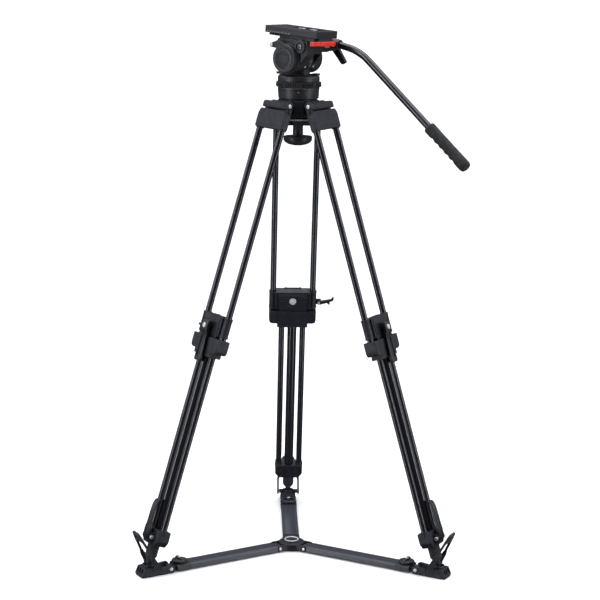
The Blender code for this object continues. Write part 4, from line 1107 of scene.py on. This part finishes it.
def build_strap(side, place):
    pivot = (STRAP_AT, 0.0, STRAP_HEIGHT)
    lean = Matrix.Translation(pivot) @ Matrix.Rotation(STRAP_LEAN, 4, "Y")
    yoke = [(-0.0275, -0.006), (-0.0275, 0.03), (-0.0205, 0.07), (-0.015, 0.086), (-0.011, 0.089)]
    yoke += [(0.011, 0.089), (0.015, 0.086), (0.0205, 0.07), (0.0275, 0.03), (0.0275, -0.006)]
    yoke += [(0.0229, -0.006), (0.0229, 0.028), (0.0155, 0.064), (-0.0155, 0.064), (-0.0229, 0.028)]
    yoke += [(-0.0229, -0.006)]
    solids = [slab(rounded(yoke, 0.004, 5), "x", -0.0025, 0.0025, 0.0009, 3)]
    for low, high in mirrored(0.0229, 0.0275):
        solids.append(rod((0, low, 0), (0, high, 0), 0.0075, ROUND, 0.0007))
        arm = [(-0.0062, 0.0), (0.0062, 0.0), (0.0052, 0.024), (0.0028, 0.034), (-0.0024, 0.034)]
        arm += [(-0.0044, 0.02)]
        solids.append(slab(rounded(arm, 0.003), "y", low, high, 0.0007))
    rim = rounded([(-0.0108, 0.0702), (0.0108, 0.0702), (0.0108, 0.0828), (-0.0108, 0.0828)], 0.003)
    solids.append(slab(rim, "x", -0.0033, 0.0033, 0.0006))
    slot = rounded([(-0.009, 0.072), (0.009, 0.072), (0.009, 0.081), (-0.009, 0.081)], 0.0022)
    cuts = [slab(slot, "x", -0.01, 0.01)]
    for y in (-0.0275, 0.0275):
        for k in range(6):
            z = 0.012 + 0.0032 * k
            cuts.append(rod((-0.0035, y, z), (0.0035, y, z), 0.0005, 8))
    shapes = moved([*solids, *cuts], lean)
    solids, cuts = shapes[: len(solids)], shapes[len(solids) :]
    node = f"foot_strap_{side}"
    piece(f"rubber_strap_{side}", solids, cuts, RUBBER, f"strap_{side}", place, [node])


# ---------------------------------------------------------------- head


def build_pan_base():
    core = 0.0395
    base = [(0.0, BASE_LOW), (0.043, BASE_LOW), (0.0443, BASE_LOW + 0.0012), (0.0456, 1.053)]
    base += [(0.045, 1.0534), (0.045, 1.054), (0.0458, 1.0544), (0.046, BASE_HIGH - 0.001)]
    top = TURNTABLE_LOW - 0.0004
    base += [(0.0452, BASE_HIGH), (core, BASE_HIGH), (core, top), (0.0, top)]
    solids = [turned(base, FINE)]
    piece("pan_housing", solids, [], HEAD, "head_base", PAN, ["pan_base"])
    marks = []
    for i in range(-3, 9):
        angle = math.radians(-90 + 39.7 - 27 + 5.5 * i)
        tall = 0.003 if i % 4 == 0 else 0.0018
        turn = Matrix.Rotation(angle, 4, "Z")
        marks += moved([box(0.0452, 0.0461, -0.00025, 0.00025, 1.0592 - tall, 1.0592)], turn)
    dot = rod((0.044, 0, 1.05), (0.0458, 0, 1.05), 0.0011, 16, 0.0002)
    marks += moved([dot], Matrix.Rotation(math.radians(-90 + 39.7 - 2), 4, "Z"))
    fittings("pan_scale_marks", marks, INK, "head_base", PAN)
    low = BASE_HIGH + 0.0004
    high = TURNTABLE_LOW - 0.0006
    teeth = 56
    outline = []
    for i in range(teeth):
        for share, far in ((0.0, 0.0474), (0.1, 0.05), (0.52, 0.05), (0.62, 0.0474)):
            angle = 2 * math.pi * (i + share) / teeth
            raised = far if i % 7 != 6 else 0.0486
            outline.append((raised * math.cos(angle), raised * math.sin(angle)))
    solids = [slab(outline, "z", low + 0.0012, high - 0.0012, 0.0003, 1)]
    rims = [(core + 0.0005, low), (0.0488, low), (0.0494, low + 0.0006), (0.0494, low + 0.0016)]
    rims += [(0.048, low + 0.002), (0.048, high - 0.002), (0.0494, high - 0.0016)]
    rims += [(0.0494, high - 0.0006), (0.0488, high), (core + 0.0005, high)]
    solids.append(turned(rims, FINE))
    hole = [rod((0, 0, low - 0.01), (0, 0, high + 0.01), core + 0.0005, FINE)]
    piece("drag_ring_grip", solids, hole, RUBBER, "drag_ring", PAN, ["pan_drag_ring"])


def build_pan_body():
    table = [(0.0, TURNTABLE_LOW), (0.0455, TURNTABLE_LOW), (0.046, 1.0722), (0.046, 1.0815)]
    table += [(0.0448, 1.0838), (0.0415, TURNTABLE_TOP), (0.0, TURNTABLE_TOP)]
    room = CORE_HALF_WIDTH
    solids = [
        turned(softened_profile(table, 0.0012), FINE),
        box(-0.023, 0.023, -room, room, TURNTABLE_TOP - 0.002, TILT_HEIGHT - 0.018, 0.0008),
        rod((0, -room, TILT_HEIGHT), (0, room, TILT_HEIGHT), DRUM_RADIUS, FINE, 0.0006),
    ]
    cuts = []
    for low, high in mirrored(0.0068, 0.0076):
        groove = [(DRUM_RADIUS - 0.0006, low), (DRUM_RADIUS + 0.002, low), (DRUM_RADIUS + 0.002, high)]
        groove += [(DRUM_RADIUS - 0.0006, high)]
        turn = Matrix.Translation((0, 0, TILT_HEIGHT)) @ Z_TO_MINUS_Y
        cuts += moved([turned(groove, FINE)], turn)
    name = "turntable"
    piece(name, solids, cuts, HEAD, "pan", PAN, ["pan_body"])
    marks = []
    for i in range(-4, 5):
        turn = Matrix.Translation((0, 0, TILT_HEIGHT)) @ Matrix.Rotation(math.radians(12 + 9 * i), 4, "Y")
        wide = 0.0042 if i % 4 == 0 else 0.0024
        marks += moved(
            [box(DRUM_RADIUS - 0.0006, DRUM_RADIUS + 0.0001, -wide, wide, -0.0003, 0.0003)], turn
        )
    fittings("tilt_scale_marks", marks, INK, "pan", PAN)
    spot = Matrix.Translation((0.0285, 0.0255, 0.0))
    cup = [(0.0, 1.085), (0.0086, 1.085), (0.0086, 1.0884), (0.008, 1.089), (0.0066, 1.089)]
    cup += [(0.0062, 1.0884), (0.0062, 1.0872), (0.0, 1.0872)]
    piece("level_cup", [turned(cup, ROUND, spot)], [], PLASTIC, "pan", PAN, ())
    glass = [(0.0, 1.0868), (0.006, 1.0868), (0.006, 1.0878), (0.0048, 1.0884), (0.0, 1.0888)]
    piece("level_vial", [turned(glass, ROUND, spot)], [], VIAL, "pan", PAN, ())
    circle = [(0.0019, 1.0886), (0.0024, 1.0886), (0.0024, 1.08895), (0.0019, 1.08895)]
    piece("level_circle", [turned(circle, ROUND, spot)], [], PLASTIC, "pan", PAN, ())
    bottom = TURNTABLE_TOP + 0.0006
    lever = [(-0.0205, -0.0275), (-0.0205, -0.0185), (-0.033, -0.0175), (-0.0425, -0.0215)]
    lever += [(-0.043, -0.0265), (-0.033, -0.0285)]
    arm = slab(rounded(lever, 0.0028), "z", bottom, bottom + 0.005, 0.001, 3)
    boss = rod((*PAN_LOCK_PIVOT, bottom), (*PAN_LOCK_PIVOT, bottom + 0.0058), 0.0042, ROUND, 0.0006)
    piece("pan_lock_paddle", [arm, boss], [], PLASTIC, "pan_lock", PAN, ["pan_lock_lever"])
    screw = [socket_screw((*PAN_LOCK_PIVOT, bottom + 0.0054), Z_AXIS, 0.0024, 0.0012)]
    piece("pan_lock_screw", screw, [], STEEL, "pan_lock", PAN, ())


def build_tilt_body():
    cheeks = [(-0.032, 0.003), (-0.0345, 0.033), (-0.031, BLOCK_TOP + 0.001), (0.05, BLOCK_TOP + 0.001)]
    cheeks += [(0.05, 0.012), (0.022, -0.0225), (0.0, -0.005)]
    solids = [
        rod((0, DRUM_LEFT, 0), (0, DRUM_RIGHT, 0), DRUM_RADIUS, FINE, 0.001),
        slab(rounded(cheeks, 0.003), "y", -0.04, 0.015, 0.0012, 3),
        box(-0.03, 0.046, 0.01, 0.0378, 0.018, BLOCK_TOP + 0.001, 0.003),
        box(-0.0328, 0.062, -0.033, 0.033, BLOCK_TOP, PLATFORM_TOP, 0.001),
        rod((ROSETTE.x, -0.045, ROSETTE.z), (ROSETTE.x, 0.046, ROSETTE.z), 0.0142, ROUND, 0.0008),
    ]
    groove = [(-0.0235, PLATFORM_TOP + 0.001), (-0.0265, 0.0435), (0.0265, 0.0435)]
    groove += [(0.0235, PLATFORM_TOP + 0.001)]
    room = CORE_HALF_WIDTH + GAP
    sweep = DRUM_RADIUS + 0.0008
    shoulder = math.asin(0.014 / sweep)
    gate = [(-0.06, 0.014), (-0.06, -0.06), (0.06, -0.06), (0.06, 0.014)]
    for i in range(33):
        angle = shoulder + (math.pi - 2 * shoulder) * i / 32
        gate.append((sweep * math.cos(angle), sweep * math.sin(angle)))
    cuts = [
        slab(gate, "y", -room, room),
        slab(groove, "x", -0.04, 0.07),
        rod((ROSETTE.x, -0.05, ROSETTE.z), (ROSETTE.x, -0.0425, ROSETTE.z), 0.009),
    ]
    for i in range(9):
        x = -0.03 + 0.003 * i
        for y in (-0.033, 0.033):
            cuts.append(box(x - 0.0006, x + 0.0006, y - 0.0007, y + 0.0007, 0.0425, 0.048))
    for y in (-0.033, 0.033):
        cuts.append(box(0.002, 0.056, y - 0.0005, y + 0.0005, 0.0446, 0.0452))
    for y in (-0.0352, 0.0332):
        strip = [(DRUM_RADIUS - 0.0007, y), (DRUM_RADIUS + 0.01, y), (DRUM_RADIUS + 0.01, y + 0.001)]
        strip += [(DRUM_RADIUS - 0.0007, y + 0.001)]
        band = moved([turned(strip, FINE)], Z_TO_MINUS_Y)[0]
        upper_half = box(-0.06, 0.06, -0.06, 0.06, -0.005, 0.06)
        cuts.append(without(band, upper_half))
    piece("tilt_housing", solids, cuts, HEAD, "tilt", TILT, ["tilt_body"])
    spot = (ROSETTE.x, -0.0424, ROSETTE.z)
    screw = [socket_screw(spot, -Y_AXIS, 0.0058, 0.0026, 0.5)]
    piece("rosette_screw", screw, [], DARK_STEEL, "tilt", TILT, ())
    screws = []
    for x, z in ((-0.026, 0.036), (0.045, 0.016), (0.045, 0.036)):
        for sign, y in ((-1, -0.0399), (1, 0.0379)):
            if (x, sign) != (0.045, 1):
                screws.append(socket_screw((x, y, z), Y_AXIS * sign, 0.0019, 0.001))
    fittings("housing_screws", screws, PLASTIC, "tilt", TILT)
    dashes = []
    for low, high in mirrored(0.0125, 0.016):
        dashes.append(box(-0.0022, 0.0022, low, high, -0.0338, -0.0334))
    moved(dashes, Matrix.Rotation(math.radians(-62), 4, "Y"))
    fittings("housing_index", dashes, INK, "tilt", TILT)


def build_tilt_lock():
    outer = DRUM_LEFT - GAP
    ring = [(0.0, outer), (0.0307, outer), (0.0315, outer - 0.001), (0.0315, outer - 0.0066)]
    ring += [(0.0296, outer - 0.0085), (0.024, outer - 0.0085), (0.0228, outer - 0.0078)]
    ring += [(0.0225, outer - 0.0068), (0.0, outer - 0.0068)]
    body = moved([turned([(r, -y) for r, y in ring], FINE)], Z_TO_MINUS_Y)[0]
    arm = [(-0.02, 0.02), (-0.0345, 0.0205), (-0.04, 0.023), (-0.04, 0.0285), (-0.033, 0.033)]
    arm += [(-0.021, 0.038), (-0.015, 0.037), (0.005, 0.031), (0.018, 0.0235)]
    lever = slab(rounded(arm, 0.0035), "y", outer - 0.007, outer - 0.001, 0.001, 3)
    outside = (LOCK_BUTTON_X, outer - 0.0082, LOCK_BUTTON_Z)
    button = rod(outside, (LOCK_BUTTON_X, outer - 0.0005, LOCK_BUTTON_Z), 0.005, ROUND, 0.0006)
    solids = [body, lever, button]
    cuts = []
    for x, z in ring_of(36, 0.032):
        if x > -0.01 or z < 0.0:
            cuts.append(rod((x, outer - 0.006, z), (x, outer - 0.0016, z), 0.0009, 8))
    piece("tilt_lock_cap", solids, cuts, HEAD, "tilt_lock", TILT, ["tilt_lock_ring"])
    disc = [(0.0, 0.0066), (0.0216, 0.0066), (0.0216, 0.0074), (0.0208, 0.0079), (0.015, 0.0082)]
    disc += [(0.0146, 0.0079), (0.014, 0.0079), (0.0136, 0.0083), (0.0, 0.0086)]
    turn = Matrix.Translation((0, outer, 0)) @ Z_TO_MINUS_Y
    face = [turned(disc, FINE, turn)]
    piece("tilt_lock_disc", face, [], PLATE, "tilt_lock", TILT, ())
    cap = [socket_screw((LOCK_BUTTON_X, outer - 0.008, LOCK_BUTTON_Z), -Y_AXIS, 0.0038, 0.0016, 0.42)]
    piece("tilt_lock_button", cap, [], STEEL, "tilt_lock", TILT, ())


def build_plate():
    half = PLATE_HALF_WIDTH
    outline = rounded(
        [(PLATE_FRONT, -half), (PLATE_REAR, -half), (PLATE_REAR, half), (PLATE_FRONT, half)], 0.0022
    )
    rib = [(-0.0231, PLATE_LOW + 0.002), (-0.0231, PLATE_LOW), (-0.026, 0.0438), (0.026, 0.0438)]
    rib += [(0.0231, PLATE_LOW), (0.0231, PLATE_LOW + 0.002)]
    solids = [slab(outline, "z", PLATE_LOW, PLATE_TOP, 0.0011, 3)]
    solids.append(slab(rib, "x", PLATE_FRONT + 0.002, PLATE_REAR - 0.002, 0.0003, 1))
    slot = rounded([(-0.015, -0.01), (0.055, -0.01), (0.055, 0.01), (-0.015, 0.01)], 0.004)
    cuts = [slab(slot, "z", PLATE_TOP - 0.003, PLATE_TOP + 0.005)]
    for y in (-half, half):
        cuts.append(box(PLATE_FRONT - 0.01, PLATE_REAR + 0.01, y - 0.0006, y + 0.0006, 0.0588, 0.0596))
    for x in (-0.06, -0.04, 0.063):
        for y in (-0.027, 0.027):
            cuts.append(rod((x, y, PLATE_TOP - 0.002), (x, y, PLATE_TOP + 0.002), 0.0024, SMALL))
    for y in (-0.018, 0.018):
        line = [(PLATE_FRONT + 0.006, y - 0.0004), (PLATE_REAR - 0.006, y - 0.0004)]
        line += [(PLATE_REAR - 0.006, y + 0.0004), (PLATE_FRONT + 0.006, y + 0.0004)]
        cuts.append(slab(line, "z", PLATE_TOP - 0.0004, PLATE_TOP + 0.002))
    piece("quick_plate", solids, cuts, PLATE, "plate", TILT, ["camera_plate"])
    bed = PLATE_TOP - 0.003
    parts = []
    for x in (0.002, 0.034):
        body = [(0.0, bed), (0.0078, bed), (0.0082, bed + 0.0006), (0.0082, bed + 0.002)]
        body += [(0.0076, bed + 0.0026), (0.0032, bed + 0.0026), (0.0032, PLATE_TOP), (0.0, PLATE_TOP)]
        parts.append(turned(body, ROUND, Matrix.Translation((x, 0, 0))))
    fittings("camera_screws", parts, STEEL, "plate", TILT)
    ticks = []
    for i in range(13):
        x = PLATE_FRONT + 0.007 + 0.005 * i
        tall = 0.0034 if i % 2 == 0 else 0.0022
        ticks.append(box(x - 0.00035, x + 0.00035, -half - 0.0001, -half + 0.0003, 0.0512, 0.0512 + tall))
    fittings("plate_scale_marks", ticks, INK, "plate", TILT)


def build_plate_lock():
    low = 0.034
    lock = [(0.0662, 0.0308), (0.0634, 0.027), (0.063, -0.03), (0.064, -0.048), (0.067, -0.052)]
    lock += [(0.071, -0.05), (0.0725, -0.03), (0.076, -0.01), (0.078, 0.02), (0.074, 0.031)]
    lever = slab(rounded(lock, 0.004), "z", low, 0.0433, 0.0012, 3)
    lobe = [(0.0, -0.0045), (0.003, -0.0043), (0.0052, -0.0032), (0.006, -0.0012), (0.006, 0.001)]
    lobe += [(0.0, 0.001)]
    knob = turned(lobe, ROUND, Matrix.Translation((0.07, 0.005, low)))
    pivot = rod((*PLATE_LOCK_PIVOT, low - 0.0008), (*PLATE_LOCK_PIVOT, 0.0434), 0.0056, ROUND, 0.0006)
    cuts = []
    for i in range(7):
        y = -0.044 + 0.0036 * i
        cuts.append(rod((0.0745, y, low - 0.001), (0.0733, y, 0.044), 0.0011, 10))
    solids = [lever, knob, pivot]
    piece("plate_release", solids, cuts, RED, "plate_lock", TILT, ["plate_lock_lever"])
    screw = [socket_screw((*PLATE_LOCK_PIVOT, low - 0.0006), -Z_AXIS, 0.003, 0.0012)]
    piece("plate_release_screw", screw, [], STEEL, "plate_lock", TILT, ())


def build_handle():
    start = Vector((0.034, BAR_PLANE, 0.0372))
    bend = [(0.0914, 0.0295), (0.102, 0.0273), (0.112, 0.0242), (0.122, 0.0202), (0.134, 0.0145)]
    knee = Vector((0.1477, BAR_PLANE, 0.0054))
    grip_start = Vector((0.3146, BAR_PLANE, -0.1115))
    grip_end = Vector((0.4176, BAR_PLANE, -0.1836))
    inside = (grip_end - grip_start).normalized()
    curve = smooth_path([*[Vector((x, BAR_PLANE, z)) for x, z in bend], knee], 5)
    path = [start, Vector((0.072, BAR_PLANE, 0.0321)), *curve]
    path += [knee.lerp(grip_start, 0.02), grip_start + inside * 0.018]
    solids = [swept(path, BAR_TUBE_RADIUS)]
    turn = TILT @ along(knee, grip_start)
    look = tube_look("pan bar anodising", turn)
    piece("handle_tube", solids, [], look, "handle", TILT, ["pan_bar"])
    heading = (Vector((bend[0][0], BAR_PLANE, bend[0][1])) - start).normalized()
    teeth = []
    for i in range(30):
        angle = 2 * math.pi * i / 30
        tooth = box(0.006, 0.0136, 0.0448, 0.047, -0.0004, 0.0004)
        place = Matrix.Translation(ROSETTE) @ Matrix.Rotation(angle, 4, "Y")
        teeth += moved([tooth], place)
    solids = [
        rod((ROSETTE.x, 0.0464, ROSETTE.z), (ROSETTE.x, 0.054, ROSETTE.z), 0.0142, FINE, 0.0006),
        box(0.021, 0.047, 0.05, 0.0715, 0.018, 0.045, 0.003),
        rod(start - heading * 0.012, start + heading * 0.03, 0.0115, ROUND, 0.001),
    ]
    socket = rod(start - heading * 0.0004, start + heading * 0.04, BAR_TUBE_RADIUS + GAP)
    piece("handle_clamp", solids, [socket], HEAD, "handle", TILT, ["bar_clamp"])
    fittings("rosette_teeth", teeth, STEEL, "handle", TILT)
    length = (grip_end - grip_start).length
    steps = 90
    curve = [grip_start + inside * length * k / steps for k in range(steps + 1)]

    def waves(share, angle):
        """Finger waves on the lower side, a flared collar at the start and a domed end."""
        ends = min(1.0, 0.9 + 5.0 * share)
        dome = 0.64 + 0.36 * math.sqrt(max(0.0, 1 - max(0.0, (share - 0.92) / 0.08) ** 2.2))
        lower = max(0.0, math.sin(angle)) ** 1.2
        hollow = 0.16 * lower * (
            0.5 - 0.5 * math.cos(2 * math.pi * 5 * min(max((share - 0.14) / 0.66, 0), 1))
        )
        waist = 0.03 * math.sin(math.pi * min(1.0, share / 0.9))
        return ends * dome * (1 - hollow - waist)

    grip = swept(curve, GRIP_RADIUS, Y_AXIS, 56, waves)
    room = rod(grip_start - inside * 0.01, grip_start + inside * 0.0186, BAR_TUBE_RADIUS + GAP)
    name = "handle_grip"
    piece(name, [grip], [room], RUBBER, "handle", TILT, ["pan_bar_grip"], 40.0)
    outline = [(0.024, 0.036), (0.04, 0.037), (0.044, 0.028), (0.07, -0.004), (0.06, -0.011)]
    outline += [(0.027, 0.021)]
    lever = slab(rounded(outline, 0.0026, 5), "y", 0.076, 0.085, 0.0014, 3)
    neck = rod((ROSETTE.x, 0.0718, ROSETTE.z), (ROSETTE.x, 0.078, ROSETTE.z), 0.007, ROUND, 0.0004)
    cap = rod((ROSETTE.x, 0.0845, ROSETTE.z), (ROSETTE.x, 0.0858, ROSETTE.z), 0.005, ROUND, 0.0005)
    solids = [lever, neck]
    piece("clamp_paddle", solids, [], PLASTIC, "handle_lock", TILT, ["clamp_lever"])
    piece("clamp_paddle_cap", [cap], [], STEEL, "handle_lock", TILT, ())


# ---------------------------------------------------------------- stage


def build_stage():
    bpy.ops.mesh.primitive_circle_add(vertices=96, radius=120.0, fill_type="NGON", location=(0, 0, 0))
    floor = bpy.context.object
    floor.name = "studio_floor"
    floor.data.materials.append(floor_look())
    floor.visible_glossy = False
    floor.visible_diffuse = False
    floor.visible_shadow = False
    world = bpy.data.worlds.new("studio")
    world.use_nodes = True
    world.node_tree.nodes["Background"].inputs["Color"].default_value = (0.93, 0.96, 1.0, 1.0)
    world.node_tree.nodes["Background"].inputs["Strength"].default_value = 0.13
    bpy.context.scene.world = world
    lamps = {
        "overhead": ((0.0, 0.12, 1.0), 4.1, 75.0),
        "left_softbox": ((-1.0, 0.2, 0.45), 1.0, 35.0),
        "right_softbox": ((1.0, 0.2, 0.4), 0.8, 35.0),
    }
    for name, (direction, strength, spread) in lamps.items():
        lamp = bpy.data.lights.new(name, "SUN")
        lamp.energy = strength
        lamp.color = LAMP_TINT
        lamp.angle = math.radians(spread)
        holder = bpy.data.objects.new(name, lamp)
        holder.rotation_mode = "QUATERNION"
        holder.rotation_quaternion = Vector(direction).to_track_quat("Z", "Y")
        bpy.context.scene.collection.objects.link(holder)
    strips = {"left_strip": (-1.95, -1.25, 56.0), "right_strip": (1.95, -1.05, 50.0)}
    for name, (x, y, power) in strips.items():
        lamp = bpy.data.lights.new(name, "AREA")
        lamp.shape = "RECTANGLE"
        lamp.size = 0.3
        lamp.size_y = 4.6
        lamp.energy = power
        lamp.color = LAMP_TINT
        holder = bpy.data.objects.new(name, lamp)
        facing = Vector((x, y, 0.0)).normalized()
        rows = Matrix((Z_AXIS.cross(facing), Z_AXIS, facing)).transposed().to_4x4()
        holder.matrix_world = Matrix.Translation((x, y, 0.5)) @ rows
        bpy.context.scene.collection.objects.link(holder)
    bpy.context.scene.view_settings.view_transform = "Standard"


def build_camera():
    azimuth = 0.0333
    pitch = 0.1935
    roll = 0.016
    ahead = Vector(
        (math.sin(azimuth) * math.cos(pitch), math.cos(azimuth) * math.cos(pitch), -math.sin(pitch))
    )
    right = ahead.cross(Z_AXIS).normalized()
    upward = right.cross(ahead)
    side = right * math.cos(roll) + upward * math.sin(roll)
    top = upward * math.cos(roll) - right * math.sin(roll)
    data = bpy.data.cameras.new("camera")
    data.sensor_width = 36.0
    data.lens = 104.5
    data.clip_end = 500.0
    holder = bpy.data.objects.new("camera", data)
    rows = Matrix((side, top, -ahead)).transposed().to_4x4()
    holder.matrix_world = Matrix.Translation((-0.1173, -3.8366, 1.3351)) @ rows
    bpy.context.scene.collection.objects.link(holder)
    bpy.context.scene.camera = holder


def main():
    build_camera()
    build_stage()
    build_crown()
    build_tie_down()
    for side, azimuth in LEGS.items():
        place = leg_frame(azimuth)
        flat = radial_frame(azimuth)
        tube = tube_look(f"tube anodising {side}", place)
        arm = slate_look(f"arm anodising {side}", flat @ Matrix.Rotation(math.radians(90), 4, "Y"))
        build_bracket(side, place)
        build_upper_tubes(side, place, tube)
        build_end_clamp(side, place)
        build_slider(side, place)
        build_mid_frame(side, place, tube)
        build_upper_lever(side, place)
        build_lower_lever(side, place)
        build_lower_leg(side, place, tube)
        build_channel(side, flat, arm)
        build_bar(side, flat, arm)
        build_knob(side, flat)
        build_pad(side, flat)
        build_strap(side, flat)
    build_hook(leg_frame(LEGS["back"]))
    build_hub()
    build_pan_base()
    build_pan_body()
    build_tilt_body()
    build_tilt_lock()
    build_plate()
    build_plate_lock()
    build_handle()


main()
